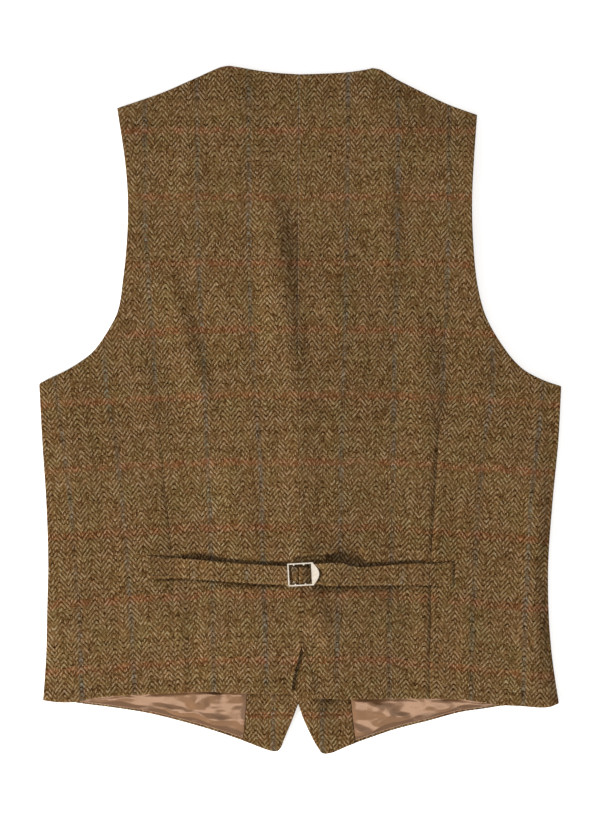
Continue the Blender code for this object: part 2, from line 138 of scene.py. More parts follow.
lamps = {name: lamp(name, *row) for name, row in LAMPS.items()}
lamps["key_lamp"].visible_glossy = False     # no glare of it on satin, as with a polarising filter
world = scene.world = bpy.data.worlds.new("sky")
world.use_nodes = True
set_inputs(world.node_tree.nodes["Background"], Color=(1.0, 0.99, 0.97, 1), Strength=0.33)
scene.view_settings.view_transform = "Standard"

# %% [markdown]
# ## The cut
#
# A tailor draws each piece from a few points and smooth curves. Blender could draw them too, as Bezier
# curves, but the points are needed inside the meshes, so they stay in short tables: how far out from the
# centre line and how far up, in millimetres, for the left and the right side. These are the same lines as
# those of the solids, so the cloth lies exactly on them.

# %% Measures of the cloth and of the layers
CLOTH, FACING, LINING, STRAP, GAP = 2.0, 1.5, 1.0, 2.0, 0.3
BUTTON_DIAMETER, BUTTON_THICK = 15.0, 3.0
BUTTON_X, BUTTON_TOP_Y, BUTTON_PITCH, BUTTON_COUNT = -0.5, 4.0, 65.0, 5
BREAK_Y = 20.0                                  # the neckline leaves the front edge here
LINED_TOP_Y, LINED_FADE_Y, LINED_END_Y = -226.0, -224.0, -186.0
VENT_TOP_Y = -236.0
LAYER, INNER_LAYER = CLOTH + GAP, FACING + GAP
BUTTON_RISE, SLACK, SAG = BUTTON_THICK + GAP, 0.4, 1.6
SIDES = ("left", "right")
OUT = {"left": -1, "right": 1}                  # which way is outward on each side

# %% Edges of the cut. Columns: distance out, height up
NECK = {
    "left": ((0.7, 335.8), (24, 337.4), (44, 340), (60, 342.8), (71, 344.5)),
    "right": ((-0.7, 335.8), (24, 336.6), (48, 338.0), (64, 340.2), (73, 342.2)),
}
SHOULDER = {
    "left": ((71, 344.5), (80, 342.8), (104, 332.2), (136, 318.2), (160, 309.6), (183, 302)),
    "right": ((73, 342.2), (81, 340.3), (96, 331.3), (120, 319.2), (148, 305.8), (177.2, 295.2)),
}
ARMHOLE = {
    "left": ((261, 26.4), (250, 32), (234, 39.5), (218, 49.5), (206, 59.5), (192, 79.5), (182, 99.5),
             (177, 129.5), (173, 169.5), (172, 209.5), (175, 249.5), (183, 302)),
    "right": ((261.4, 23.8), (244, 29.7), (225, 39.5), (214, 49.5), (206, 59.5), (193, 79.5), (183.7, 99.5),
              (176.7, 129.5), (173, 169.5), (172, 209.5), (173.8, 249.5), (177.2, 295.2)),
}
SIDE = {
    "left": ((257, -290.5), (254, -245), (253, -200.5), (252, -150.5), (254, -90.5), (258, -30.5),
             (261, 26.4)),
    "right": ((258.9, -293.5), (252, -245), (248.7, -200.5), (248.5, -150.5), (252.8, -90.5), (258.5, -30.5),
              (261.4, 23.8)),
}
VENT = {
    "left": ((-1.5, -236), (2, -250.5), (5.5, -263.5), (9, -282.5)),
    "right": ((1.5, -236), (6, -248.5), (10.6, -266.5), (17.5, -287.5)),
}
BACK_HEM = {
    "left": ((9, -282.5), (53, -282.8), (100, -281.5), (134, -283.5), (172, -285.3), (205, -288), (224, -292),
             (241, -292.3), (257, -290.5)),
    "right": ((17.5, -287.5), (51, -288.5), (120, -288.5), (161, -289.5), (198, -294.8), (222, -296.2),
              (240, -297.6), (250, -296.9), (258.9, -293.5)),
}
FRONT_HEM = {
    "left": ((22, -342.2), (32, -340.3), (56, -331.3), (88, -320.4), (120, -311.2), (152, -303.4),
             (184, -298.2), (216, -294.2), (234, -291.6), (257, -290.5)),
    "right": ((22, -344.5), (32, -343), (48, -336.2), (72, -327.4), (96, -319.4), (128, -311.2),
              (160, -302.6), (184, -299), (204, -296), (258.9, -293.5)),
}
FRONT_EDGE = {
    "left": ((22, -342.2), (19, -337.5), (16.5, -331), (13, -322.5), (8, -310.5), (2.1, -294.5), (-3, -281),
             (-6.5, -268), (-8, -250), (-8, BREAK_Y)),
    "right": ((22, -344.5), (18, -338), (14, -331.5), (9.8, -323), (3, -307.8), (-1.4, -294.5),
              (-8, -278.5), (-9.3, -262), (-9.5, -245), (-9.5, BREAK_Y)),
}
CENTRE_SEAM = ((-1.5, VENT_TOP_Y), (0.4, -90), (2.0, 120), (0.7, 335.3))   # distance to the left of centre
FACING_LINE = {
    "left": ((52.5, -283), (50, -226), (48, -60), (50, 20)),
    "right": ((50.7, -289.5), (48, -226), (47, -60), (50, 20)),
}
FACING_HEM_X, FACING_SHOULDER_X = {"left": 56.5, "right": 55.3}, 99.0
DART = {  # from the hem up to its tip and on, as the line on which each half is modelled in two parts
    "left": ((123.5, -282.9), (125, -238), (126.5, -190), (129.4, -122), (133.2, -90), (136.6, -47),
             (142, 9)),
    "right": ((130, -288.6), (129.7, -250), (130.5, -225), (131.5, -150), (135, -90), (139, -24),
              (142.5, 14)),
}
ABOVE_DART = {"left": ((142, 9), (141, 110), (137, 220), (132, 320)),
              "right": ((142.5, 14), (141, 110), (137, 220), (131, 314))}
NECK_INSET, NECKLINE_BOW, ARMHOLE_SCOOP = 3.0, 0.47, 9.0

# %% [markdown]
# ## Curves and nets
#
# A panel of cloth is a net of points between four edges. Blender can fill an outline with one flat face,
# but a flat face can't drape: the net has rows and columns that can be lifted. A Coons patch makes it. It
# mixes the two pairs of opposite edges and takes away their corners, and the result meets all four edges
# exactly. Near an edge the rows stand close together, because cloth rounds over within a millimetre there.

# %% Curves
FINE = np.linspace(0, 1, 4001)     # shares at which a curve is read when a place on it is looked for

def ease(value, low, high):
    """0 below low, 1 above high, and a smooth step between."""
    share = np.clip((np.asarray(value, float) - low) / (high - low), 0, 1)
    return share * share * (3 - 2 * share)

def smooth(rows):
    """A smooth curve through points: it takes shares of its length, 0 to 1, and gives points."""
    knots = np.array(rows, float)
    spans = np.linalg.norm(np.diff(knots, axis=0), axis=1)
    reach = np.concatenate([[0], np.cumsum(spans)])
    inner = (knots[2:] - knots[:-2]) / (spans[1:] + spans[:-1])[:, None]
    slopes = np.vstack([(knots[1] - knots[0]) / spans[0], inner, (knots[-1] - knots[-2]) / spans[-1]])

    def at(share):
        along = np.clip(np.asarray(share, float), 0, 1) * reach[-1]
        i = np.clip(np.searchsorted(reach, along, side="right") - 1, 0, len(spans) - 1)
        span = spans[i][..., None]
        t = (along - reach[i])[..., None] / span
        leave, arrive = (t**3 - 2 * t**2 + t) * span * slopes[i], (t**3 - t**2) * span * slopes[i + 1]
        return (2 * t**3 - 3 * t**2 + 1) * knots[i] + (3 * t**2 - 2 * t**3) * knots[i + 1] + leave + arrive

    at.length = reach[-1]
    return at

def joined(first, second):
    """Two curves end to end, and the share of the whole length at which they meet."""
    whole = first.length + second.length
    meet = first.length / whole

    def at(share):
        share = np.asarray(share, float)
        low, high = first(share / meet), second((share - meet) / (1 - meet))
        return np.where((share < meet)[..., None], low, high)

    at.length = whole
    return at, meet

def share_where(curve, axis, value):
    """The share at which a curve that only rises along an axis (0 out, 1 up) reaches a value."""
    return float(np.interp(value, curve(FINE)[:, axis], FINE))

def part_of(curve, start, end):
    """The stretch of a curve between two of its shares."""
    def at(share):
        return curve(start + (end - start) * np.asarray(share, float))

    at.length = curve.length * abs(end - start)
    return at

def paced(curve, stops, marks):
    """The curve, run at another pace: it is at each of its stops when the share is at that mark."""
    def at(share):
        return curve(np.interp(share, [0, *marks, 1], [0, *stops, 1]))

    at.length = curve.length
    return at

# %% Nets
NET_STEP = 2.7                         # millimetres between rows and between columns
EDGE_STEPS = (0.0, 0.25, 0.8, 1.7)     # distances of the first rows from an edge

def shares_along(length, step=NET_STEP):
    """Shares from 0 to 1, even in the middle and close together at both ends."""
    start, end = np.array(EDGE_STEPS), length - np.array(EDGE_STEPS)[::-1]
    count = max(1, round((end[0] - start[-1]) / step))
    middle = np.linspace(start[-1], end[0], count + 1)
    return np.concatenate([start[:-1], middle, end[1:]]) / length

def net(inner, outer, low, high, across, up):
    """Points between four edges, as rows of columns. inner and outer run up, low and high run outward."""
    s, t = across[None, :, None], up[:, None, None]
    between = (1 - s) * inner(up)[:, None] + s * outer(up)[:, None]
    between = between + (1 - t) * low(across)[None] + t * high(across)[None]
    low_line = (1 - s) * inner(0.0) + s * outer(0.0)
    high_line = (1 - s) * inner(1.0) + s * outer(1.0)
    return between - (1 - t) * low_line - t * high_line

def along_rows(plan):
    """How far each point is from its row's first point, along the row."""
    steps = np.linalg.norm(np.diff(plan, axis=1), axis=2)
    return np.concatenate([np.zeros((len(plan), 1)), np.cumsum(steps, axis=1)], axis=1)

def along_columns(plan):
    """How far each point is from its column's first point, along the column."""
    return along_rows(plan.swapaxes(0, 1)).T

print("left side seam in mm:", round(smooth(SIDE["left"]).length, 1))

# %% [markdown]
# ## How high each layer lies
#
# The fronts lie on the table, the right one over the left where they are buttoned, and both ride over the
# buttons. The back lies over everything and comes down to the fronts at the side and shoulder seams. So
# every height follows from what is underneath. On top of that come the folds: rows in a table, each a soft
# ridge or, with a minus, a trough between a foot and a head. Simulated cloth would drape by chance. These
# folds have to be where this waistcoat has them.

# %% Heights of the layers
RISE, STEP = (14.0, 42.0), (12.5, 36.0)      # where the fronts come down, and the right one off the left
FLAT_TIP_Y, CLOSED_Y, CLOSED_TOP_Y, FLAT_TOP_Y = -338.0, -288.0, 80.0, 130.0    # and above and below them
HUMP, HUMP_TOP_Y, HUMP_GONE_Y = (26.0, 132.0), 105.0, 180.0                     # the same for the back
NECK_OPEN_Y, NECK_TOP_Y, NECK_HALF_WIDTH = 50.0, 343.0, 74.0     # the opening over which the back sags
SAG_ENDS = (4.0, 34.0)                       # the sag begins and is full this far inside the opening
SEAM_TURN, FOLD_END = 7.0, 0.25              # width of the turn to a seam; share in which a fold fades out

def lined(y):
    """1 where facing and lining lie between front and back, 0 above their upper end."""
    return 1 - ease(y, LINED_FADE_Y, LINED_END_Y)

def front_level(side, x, y):
    """Underside of a front: on the table, up over the buttons and, on the right, up over the left front."""
    z = BUTTON_RISE * (1 - ease(np.abs(x - BUTTON_X), *RISE))
    if side == "right":
        z = z + (LAYER + INNER_LAYER * lined(y) + SLACK) * (1 - ease(x, *STEP))
    return z * ease(y, FLAT_TIP_Y, CLOSED_Y) * (1 - ease(y, CLOSED_TOP_Y, FLAT_TOP_Y))

def folds(table, x, y, sharp=False):
    """Height of all the ridges of a table. Columns: foot x and y, head x and y, width to the left and to
    the right of the line from foot to head, height. Sharp ones have a crest, or below 0 a sharp bottom."""
    total = np.zeros(np.shape(x))
    for x1, y1, x2, y2, left, right, rise in table:
        run_x, run_y, length = x2 - x1, y2 - y1, math.dist((x1, y1), (x2, y2))
        share = ((x - x1) * run_x + (y - y1) * run_y) / length**2
        off = (run_y * (x - x1) - run_x * (y - y1)) / length
        flank = np.clip(np.abs(off) / np.where(off < 0, left, right), 0, 1)
        lasting = ease(share, -FOLD_END, FOLD_END) * (1 - ease(share, 1 - FOLD_END, 1 + FOLD_END))
        total += rise * (1 - flank if sharp else np.cos(flank * math.pi / 2)) ** 2 * lasting
    return total

def gap_to(line, x, y):
    """Distance of each point from a line of points."""
    best = np.full(np.shape(x), np.inf)
    for (ax, ay), (bx, by) in zip(line, line[1:]):
        rx, ry = bx - ax, by - ay
        share = np.clip(((x - ax) * rx + (y - ay) * ry) / (rx * rx + ry * ry), 0, 1)
        best = np.minimum(best, np.hypot(x - ax - rx * share, y - ay - ry * share))
    return best

# %% Folds of the back. Columns: foot x, y, head x, y, width to the left, to the right, height
LARGE_FOLDS = (
    (-11, 44, -26, 207, 32, 22, 5.3),      # fullness left of the centre seam, which falls steeply to it
    (-92, 0, -130, 128, 30, 17, 3.8),      # pull from the armhole to the waist
    (127, -24, 121, 90, 30, 25, 4.2),      # fullness above the right dart
    (128, -156, 123, -20, 46, 26, 3.2),    # fullness beside the right dart
    (-146, -214, -149, -80, 60, 32, 3.3),  # fullness beside the left dart
    (236, -262, 240, -60, 26, 14, 3.0),    # roll beside the right side seam
)
SMALL_FOLDS = (
    (92, 140, 88, 250, 30, 15, 2.0),       # right shoulder blade
    (28, 96, 36, 120, 18, 17, 1.8),
    (-96, 190, -112, 266, 26, 20, 1.3),    # left shoulder blade
    (-62, -118, -76, -36, 26, 30, 1.8),
    (-150, -12, -166, 60, 24, 20, 1.0),
    (182, 2, 176, 60, 24, 20, 1.0),
    (16, -151.5, 36, -148.5, 7, 9, -4.6),  # hollow above the strap, beside the buckle
    (-2, -150, 14, -150, 4, 5, -1.7),
    (6, -143.5, 38, -140, 6, 5, 2.2),      # and the cloth stands up beyond it
    (56, -139, 62, -151, 7, 7, -2.6),
    (-4, -175.5, 36, -176, 4, 9, -1.8),    # hollow below the buckle
    (-84, -171.5, -24, -174.5, 3, 6, -2.0),
    (244, -148, 240, -176, 9, 8, -1.6),
    (-118, -152, -86, -155, 8, 12, 1.4),
    (24, -176.5, 112, -175.5, 3, 7, -2.2),
    (27, -278, 20, -192, 20, 12, 3.4),     # from the strap to the hem
    (-117, -278, -121, -172, 22, 11, 2.0),
    (128, -280, 127, -178, 26, 10, 2.2),
    (-92, -200, -90, -276, 26, 18, 1.0),
    (92, -198, 98, -276, 24, 20, 1.0),
    (172, -190, 168, -270, 26, 18, 1.0),
    (206, -110, 204, -10, 24, 24, 0.9),
    (-222, -120, -226, -10, 20, 24, 0.8),
)
CREASES = (
    (1.5, -180, -0.5, 36, 46, 44, 3.8),    # the centre seam stands up
    (1.2, -230, 1.2, -190, 40, 40, 1.6),
)
BODY_RISE, BODY_REACH = 1.4, 24.0          # the back stands up this much, this far inside its edges
SHOULDER_RISE, SHOULDER_REACH = 3.4, 50.0  # and more inside the shoulders and the neck,
SHOULDER_FROM = (60.0, 170.0)              # from none to all of it between these heights
VENT_PRESS = (4.0, 46.0)                   # folds are pressed out at the vent, and full this far from it
RIM_POINTS = 25                            # a line of the rim is measured with this many points

def folds_at(x, y, small):
    """Height of the back's folds, with or without the small ones."""
    large = folds(LARGE_FOLDS, x, y) + folds(CREASES, x, y, sharp=True)
    return large + (folds(SMALL_FOLDS, x, y) if small else 0.0)

def back_level(side, x, y, folded=True):
    """Underside of the back: over the fronts, over the button stand, and down to the seams at its rim."""
    hump = (1 - ease(np.abs(x - BUTTON_X), *HUMP)) * (1 - ease(y, HUMP_TOP_Y, HUMP_GONE_Y))
    opening = NECK_HALF_WIDTH * np.maximum(0, y - NECK_OPEN_Y) / (NECK_TOP_Y - NECK_OPEN_Y)
    hollow = ease(opening - np.abs(x), *SAG_ENDS) * (1 - hump)
    inner = INNER_LAYER * lined(y)
    rise = inner + (BUTTON_RISE + LAYER + inner + 2 * SLACK) * hump - SAG * hollow
    shares, tables = np.linspace(0, 1, RIM_POINTS), (SIDE, SHOULDER, NECK, BACK_HEM, VENT)
    to_side, to_shoulder, to_neck, to_hem, to_vent = [
        gap_to(smooth(table[side])(shares), OUT[side] * x, y) for table in tables]
    to_seam = np.minimum(to_side, to_shoulder)
    body = BODY_RISE * ease(np.minimum(to_seam, to_hem), 0, BODY_REACH)
    inside = ease(np.minimum(to_shoulder, to_neck), 0, SHOULDER_REACH)
    body = body + SHOULDER_RISE * inside * ease(y, *SHOULDER_FROM)
    drape = (body + folds_at(x, y, folded)) * ease(to_vent, *VENT_PRESS)
    return LAYER + (rise + drape) * ease(to_seam, 0, SEAM_TURN)

print("back above the table at the waist in mm:", round(float(back_level("left", -100.0, -100.0)), 2))

# %% [markdown]
# ## Cloth with two faces and a round edge
#
# A Solidify modifier would give the net a thickness with square edges. Real edges are folded over and
# pressed, so they are round. Here the thickness itself shrinks towards every edge as the outline of a
# circle does, and the two faces are sewn together along a narrow rim. Each face corner also carries its
# place on the bolt of cloth, across and along the grain. That map is what lets the stripes bend with the
# cut.

# %% A shell of cloth
ROUNDING = 0.6      # share of the thickness over which an edge is rounded
EVEN = (0.2, 0.2, 0.2, 0.2)

def edge_profile(distance, radius, least):
    """Share of the full thickness at a distance from an edge that is rounded over a radius."""
    share = np.clip(distance / radius, 0, 1)
    return least + (1 - least) * np.sqrt(1 - (1 - share) ** 2)

def shell(name, plan, level, thick, grains, radius=None, least=EVEN, dip=0.0, lying=False, edge=None):
    """A closed shell of cloth. plan and level are its net and the height of its underside. radius and
    least are how wide the rounding of its inner, outer, lower and upper edge is, and how thick that edge
    stays. grains are (first column, map) pairs. dip lowers the upper face, and a lying shell is only
    rounded above. edge is a second map, a share per point."""
    rows, cols = level.shape
    across, up = along_rows(plan), along_columns(plan)
    ways = (across, across[:, -1:] - across, up, up[-1:] - up)
    radii = radius or (ROUNDING * thick,) * 4
    full = np.min([edge_profile(*parts) for parts in zip(ways, radii, least)], axis=0)
    middle = level + thick / 2 * (full if lying else 1.0)
    heights = (middle + thick / 2 * full - dip, middle - thick / 2 * full)
    points = np.vstack([np.dstack([plan, height]).reshape(-1, 3) for height in heights]) * MM
    number = np.arange(rows * cols).reshape(rows, cols)
    top = np.stack([number[:-1, :-1], number[:-1, 1:], number[1:, 1:], number[1:, :-1]], axis=-1)
    top = top.reshape(-1, 4)
    rim = np.concatenate([number[0], number[1:, -1], number[-1, -2::-1], number[-2:0:-1, 0]])
    following = np.roll(rim, -1)
    sides = np.stack([rim, rim + rows * cols, following + rows * cols, following], axis=-1)
    quads = np.vstack([top, top[:, ::-1] + rows * cols, sides])
    if plan[0, -1, 0] < plan[0, 0, 0]:      # a net that runs to the left would be inside out
        quads = quads[:, ::-1]
    mesh = bpy.data.meshes.new(name)
    mesh.from_pydata(points, [], quads)
    mesh.shade_smooth()
    # The grain: a map per stretch of columns, so that it can jump at a sewn dart.
    column = np.concatenate([np.tile(np.arange(cols - 1), 2 * (rows - 1)), np.minimum(rim, following) % cols])
    places = np.zeros((len(quads), 4, 2))
    for first, grain in grains:
        chosen = column >= first
        places[chosen] = np.vstack([grain.reshape(-1, 2)] * 2)[quads[chosen]] * MM
    maps = {"grain": places}
    if edge is not None:
        maps["edge"] = np.vstack([np.dstack([edge, edge]).reshape(-1, 2)] * 2)[quads]
    for label, corners in maps.items():
        mesh.uv_layers.new(name=label).data.foreach_set("uv", corners.reshape(-1).astype(np.float32))
    return added(name, mesh)

# %% [markdown]
# ## The two halves of the back
#
# Each half is cut with straight grain and then shaped: the centre seam takes away a little cloth towards
# the hem, and a long dart takes away more. So the check isn't straight. It runs in towards the waist, one
# stripe vanishes into the dart, and the bars across drop towards the side seams. The table says how much,
# at a few heights. The half is modelled as two nets that share the line of the dart, where the map of the
# grain jumps.

# %% Where the back's grain runs
# Columns: height up, taken up in the centre seam, fullness, taken up in the dart, drop of the bars per mm.
BACK_GRAIN = {
    "left": ((300, 1.0, 0.013, 0, 0), (180, 0.5, 0.023, 0, 0.005), (110, 0.3, 0.05, 0, 0.04),
             (60, 2.6, 0.06, 0.5, 0.05), (23, 6.5, 0.035, 3.5, 0.055), (-30, 11.5, 0.005, 13.6, 0.055),
             (-90, 14.0, 0.01, 17.6, 0.05), (-210, 17.4, 0.01, 23.4, 0.07), (-280, 19.4, 0.0, 26, 0.075)),
    "right": ((300, 2.6, 0.044, 0, 0), (180, 4.4, 0.035, 0, 0.0), (110, 4.6, 0.045, 0, 0.03),
              (60, 4.8, 0.065, 0.5, 0.045), (23, 7.6, 0.04, 2.8, 0.05), (-30, 11.9, 0.0, 14.2, 0.06),
              (-90, 11.4, 0.01, 19.0, 0.07), (-210, 15.0, 0.012, 21.3, 0.10), (-280, 15.7, 0.01, 22.5, 0.10)),
}
BARS_FROM, BARS_BEND = 80.0, (60.0, 120.0)    # the bars drop beyond this distance, and bend between these
DART_BLUR = 34.0           # above the dart's tip its fullness is spread this far to each side
BAR_PITCH, BAR_Y = 66.1, 279.0

def back_grain(side, plan, beyond):
    """Places on the bolt of cloth: across from a stripe at the centre, along from the hem to the neck."""
    rows = np.array(BACK_GRAIN[side])[::-1]
    out, y = OUT[side] * plan[..., 0], plan[..., 1]
    seam, fullness, dart, drop = [np.interp(y, rows[:, 0], rows[:, k]) for k in range(1, 5)]
    line = np.array(DART[side] + ABOVE_DART[side][1:])
    dart_out, tip_y = np.interp(y, line[:, 1], line[:, 0]), DART[side][-1][1]
    sharp = 1 - ease(y, tip_y - DART_BLUR, tip_y)
    taken = sharp * float(beyond) + (1 - sharp) * ease(out - dart_out, -DART_BLUR, DART_BLUR)
    across = seam + out * (1 + fullness) + dart * taken
    along = y + drop * np.maximum(0, out - BARS_FROM) * ease(out, *BARS_BEND)
    return np.stack([OUT[side] * across, along], axis=-1)

# %% Make the two halves
DART_DEPTH, DART_WIDTH, DART_FADE = {"left": 0.7, "right": 1.4}, {"left": 1.7, "right": 2.0}, 60.0
HEM_LIFT, HEM_LIFT_REACH = 1.2, 16.0
SEAM_GAP = 0.04                      # the halves all but touch at the centre seam
STRAP_ROWS = (0.108, 0.2, 48)        # shares of the height with finer rows, for the creases below the strap
BACK_LENGTH, INSIDE_WIDTH, OUTSIDE_WIDTH = 610, 140, 120      # about, to space the rows and columns
CHEST_Y, CHEST_MARKS = 75.0, (0.5, 0.6)      # shares of the rows below the underarm and below this height
VENT_MARK, NECK_MARK = 0.32, 0.55            # shares of the columns in the vent and in the neckline
PRESSED_LINES = (                    # lines that the edges of the strap have pressed in: depth, points
    (1.9, ((-140, -168.4), (-110, -168.8), (-78, -171.0), (-42, -173.8), (-15, -174.4))),
    (1.9, ((14, -175.4), (40, -175.4), (60, -175.0), (85, -174.7), (115, -174.5), (140, -176.2))),
    (1.3, ((-92, -149.4), (-54, -152.2), (-34, -153.2), (-15, -154.0))),
    (1.3, ((62, -155.4), (84, -154.0), (102, -152.4), (124, -151.6))),
)
PRESSED_WIDTH = 1.4

def pressed(lines, x, y):
    """Depth of narrow grooves along lines."""
    depths = [depth * np.exp(-(gap_to(points, x, y) / PRESSED_WIDTH) ** 2) for depth, points in lines]
    return np.max(depths, axis=0)

def back_half(side):
    """Half of the back, from the centre seam to the side, in two nets that meet on the line of the dart."""
    out, tip_y = OUT[side], DART[side][-1][1]
    seam = smooth([(-out * x, y) for x, y in CENTRE_SEAM])
    edge, underarm = joined(smooth(SIDE[side]), smooth(ARMHOLE[side]))
    hem, shoulder = smooth(BACK_HEM[side]), smooth(SHOULDER[side])
    dart, _ = joined(smooth(DART[side]), smooth(ABOVE_DART[side]))
    hem_at = share_where(hem, 0, DART[side][0][0])
    top_at = share_where(shoulder, 0, ABOVE_DART[side][-1][0])
    low_in, vent_end = joined(smooth(VENT[side]), part_of(hem, 0, hem_at))
    top_in, neck_point = joined(smooth(NECK[side]), part_of(shoulder, 0, top_at))
    levels = (edge(underarm)[1], CHEST_Y)
    lines = [paced(line, [share_where(line, 1, level) for level in levels], CHEST_MARKS)
             for line in (seam, dart, edge)]
    up = np.unique(np.concatenate([shares_along(BACK_LENGTH), np.linspace(*STRAP_ROWS)]))
    inside = net(*lines[:2], paced(low_in, [vent_end], [VENT_MARK]), paced(top_in, [neck_point], [NECK_MARK]),
                 np.unique(np.append(shares_along(INSIDE_WIDTH), VENT_MARK)), up)
    outside = net(*lines[1:], part_of(hem, hem_at, 1), part_of(shoulder, top_at, 1),
                  shares_along(OUTSIDE_WIDTH), up)
    plan = np.concatenate([inside, outside[:, 1:]], axis=1)
    plan[..., 0] = out * (plan[..., 0] + SEAM_GAP / 2)
    x, y = plan[..., 0], plan[..., 1]
    column, across = inside.shape[1] - 1, along_rows(plan)
    lift = HEM_LIFT * (1 - ease(along_columns(plan), 0, HEM_LIFT_REACH))
    to_dart = np.abs(across - across[:, column:column + 1])
    sewn = DART_DEPTH[side] * (1 - ease(y, tip_y - DART_FADE, tip_y))
    dip = sewn * np.exp(-(to_dart / DART_WIDTH[side]) ** 2) + pressed(PRESSED_LINES, x, y)
    grains = ((0, back_grain(side, plan, False)), (column, back_grain(side, plan, True)))
    return shell(f"back_{side}_cloth", plan, back_level(side, x, y) + lift, CLOTH, grains,
                 least=(0.45, 0.25, 0.2, 0.2), dip=dip)

backs = {side: back_half(side) for side in SIDES}

# %% [markdown]
# ## Fronts and facings
#
# The fronts are one net each, from the opening to the side seam. The facing is a strip along their opening,
# and the lining fills the rest. Both are made from the front's own net: the strip's columns and the other
# columns, lifted by the thickness of the cloth below. So they follow each bend of the front.

# %% The net of a front
TIP_ROUND = 3.6                                # radius of the front's point
BARS_DOWN = 11.0                               # the bars of the fronts lie this much lower
FRONT_LENGTH, STRIP_WIDTH, REST_WIDTH = (680, 3.0), (58, 2.5), (200, 3.0)   # about, and their steps
FRONT_MARKS = (0.2, 0.55)                      # shares of the rows below the lining's top and the break
HEM_ROWS = (0.0, 0.11, 46)                     # shares of the height with finer rows

def front_grain(side, plan, stripe_out):
    """Straight grain, with a stripe at a distance out from the centre."""
    across = OUT[side] * (OUT[side] * plan[..., 0] - stripe_out)
    return np.stack([across, plan[..., 1] - BARS_DOWN], axis=-1)

def rounded_corner(plan):
    """A net whose first corner, the front's point, is turned round: a square of it becomes a quarter disc."""
    along, up = along_rows(plan), along_columns(plan)
    a, b = np.clip(1 - along / TIP_ROUND, 0, 1), np.clip(1 - up / TIP_ROUND, 0, 1)
    in_along, in_up = a * (1 - np.sqrt(1 - b * b / 2)), b * (1 - np.sqrt(1 - a * a / 2))
    ways = [step / np.linalg.norm(step) for step in (plan[0, 3] - plan[0, 0], plan[3, 0] - plan[0, 0])]
    return plan + TIP_ROUND * (in_along[..., None] * ways[0] + in_up[..., None] * ways[1])

def front_nets(side):
    """The strip beside the opening and the rest of a front, as two nets that share a line."""
    neck_x, neck_y = SHOULDER[side][0]
    neck_point = (neck_x + NECK_INSET, neck_y - NECK_INSET)
    start = FRONT_EDGE[side][-1]
    middle = (start[0] + (neck_x - start[0]) * NECKLINE_BOW, (BREAK_Y + neck_y) / 2)
    edge, break_at = joined(smooth(FRONT_EDGE[side]), smooth((start, middle, neck_point)))
    last = len(ARMHOLE[side]) - 1
    armhole = [(x - ARMHOLE_SCOOP * math.sin(math.pi * k / last), y)
               for k, (x, y) in enumerate(ARMHOLE[side])]
    outer, underarm = joined(smooth(SIDE[side]), smooth(armhole))
    hem, shoulder = smooth(FRONT_HEM[side]), smooth((neck_point, *SHOULDER[side][2:]))
    hem_at = share_where(hem, 0, FACING_HEM_X[side])
    top_at = share_where(shoulder, 0, FACING_SHOULDER_X)
    line = smooth((tuple(hem(hem_at)), *FACING_LINE[side], tuple(shoulder(top_at))))
    tops = ((edge, break_at), (line, share_where(line, 1, BREAK_Y)), (outer, underarm))
    lines = [paced(curve, [share_where(curve, 1, LINED_TOP_Y), top], FRONT_MARKS) for curve, top in tops]
    up = np.unique(np.concatenate([shares_along(*FRONT_LENGTH), FRONT_MARKS, np.linspace(*HEM_ROWS)]))
    strip = rounded_corner(net(*lines[:2], part_of(hem, 0, hem_at), part_of(shoulder, 0, top_at),
                               shares_along(*STRIP_WIDTH), up))
    rest = net(*lines[1:], part_of(hem, hem_at, 1), part_of(shoulder, top_at, 1),
               shares_along(*REST_WIDTH), up)
    for part in (strip, rest):
        part[..., 0] *= OUT[side]
    return strip, rest, int(np.argmin(np.abs(up - FRONT_MARKS[0])))

nets = {side: front_nets(side) for side in SIDES}
print("rows of a front:", len(nets["left"][0]), "of which", nets["left"][2], "carry facing and lining")

# %% Fronts and facings
FACING_STRIPE = {"left": 26.6, "right": 22.4}
HEM_PRESS, HEM_PRESS_LOW = 1.0, 1.2      # the back's hem presses a line this deep, this far below itself
HEM_POINTS = 60                          # the hem is measured with this many points

def front(side):
    """A front: its outer face lies on the table."""
    strip, rest, _ = nets[side]
    plan = np.concatenate([strip, rest[:, 1:]], axis=1)
    level = front_level(side, plan[..., 0], plan[..., 1])
    grains = ((0, front_grain(side, plan, FACING_STRIPE[side])),)
    return shell(f"front_{side}_cloth", plan, level, CLOTH, grains)

def below_hem(side, x, y):
    """How far below the back's hem a point lies, less than 0 above it."""
    line = smooth(BACK_HEM[side])(np.linspace(0, 1, HEM_POINTS))
    out = OUT[side] * x
    return gap_to(line, out, y) * np.where(y < np.interp(out, line[:, 0], line[:, 1]), 1, -1)

def facing(side):
    """The strip of tweed inside the opening, from the hem to its upper end under the back."""
    strip, _, top = nets[side]
    plan = strip[:top + 1]
    x, y = plan[..., 0], plan[..., 1]
    dip = HEM_PRESS * np.exp(-((below_hem(side, x, y) - HEM_PRESS_LOW) / PRESSED_WIDTH) ** 2)
    grains = ((0, front_grain(side, plan, FACING_STRIPE[side])),)
    return shell(f"facing_{side}_cloth", plan, front_level(side, x, y) + CLOTH + GAP, FACING, grains,
                 least=(0.2, 0.3, 0.2, 0.3), dip=dip)

fronts = {side: front(side) for side in SIDES}
facings = {side: facing(side) for side in SIDES}

# %% [markdown]
# ## Lining
#
# Satin is thin and slippery, so it never lies as flat as the tweed. It is sewn in with ease, and the spare
# cloth makes shallow folds that catch the light. They are rows in a table again, in both directions, with
# the deepest one along the hem, where the lining is folded back on itself.

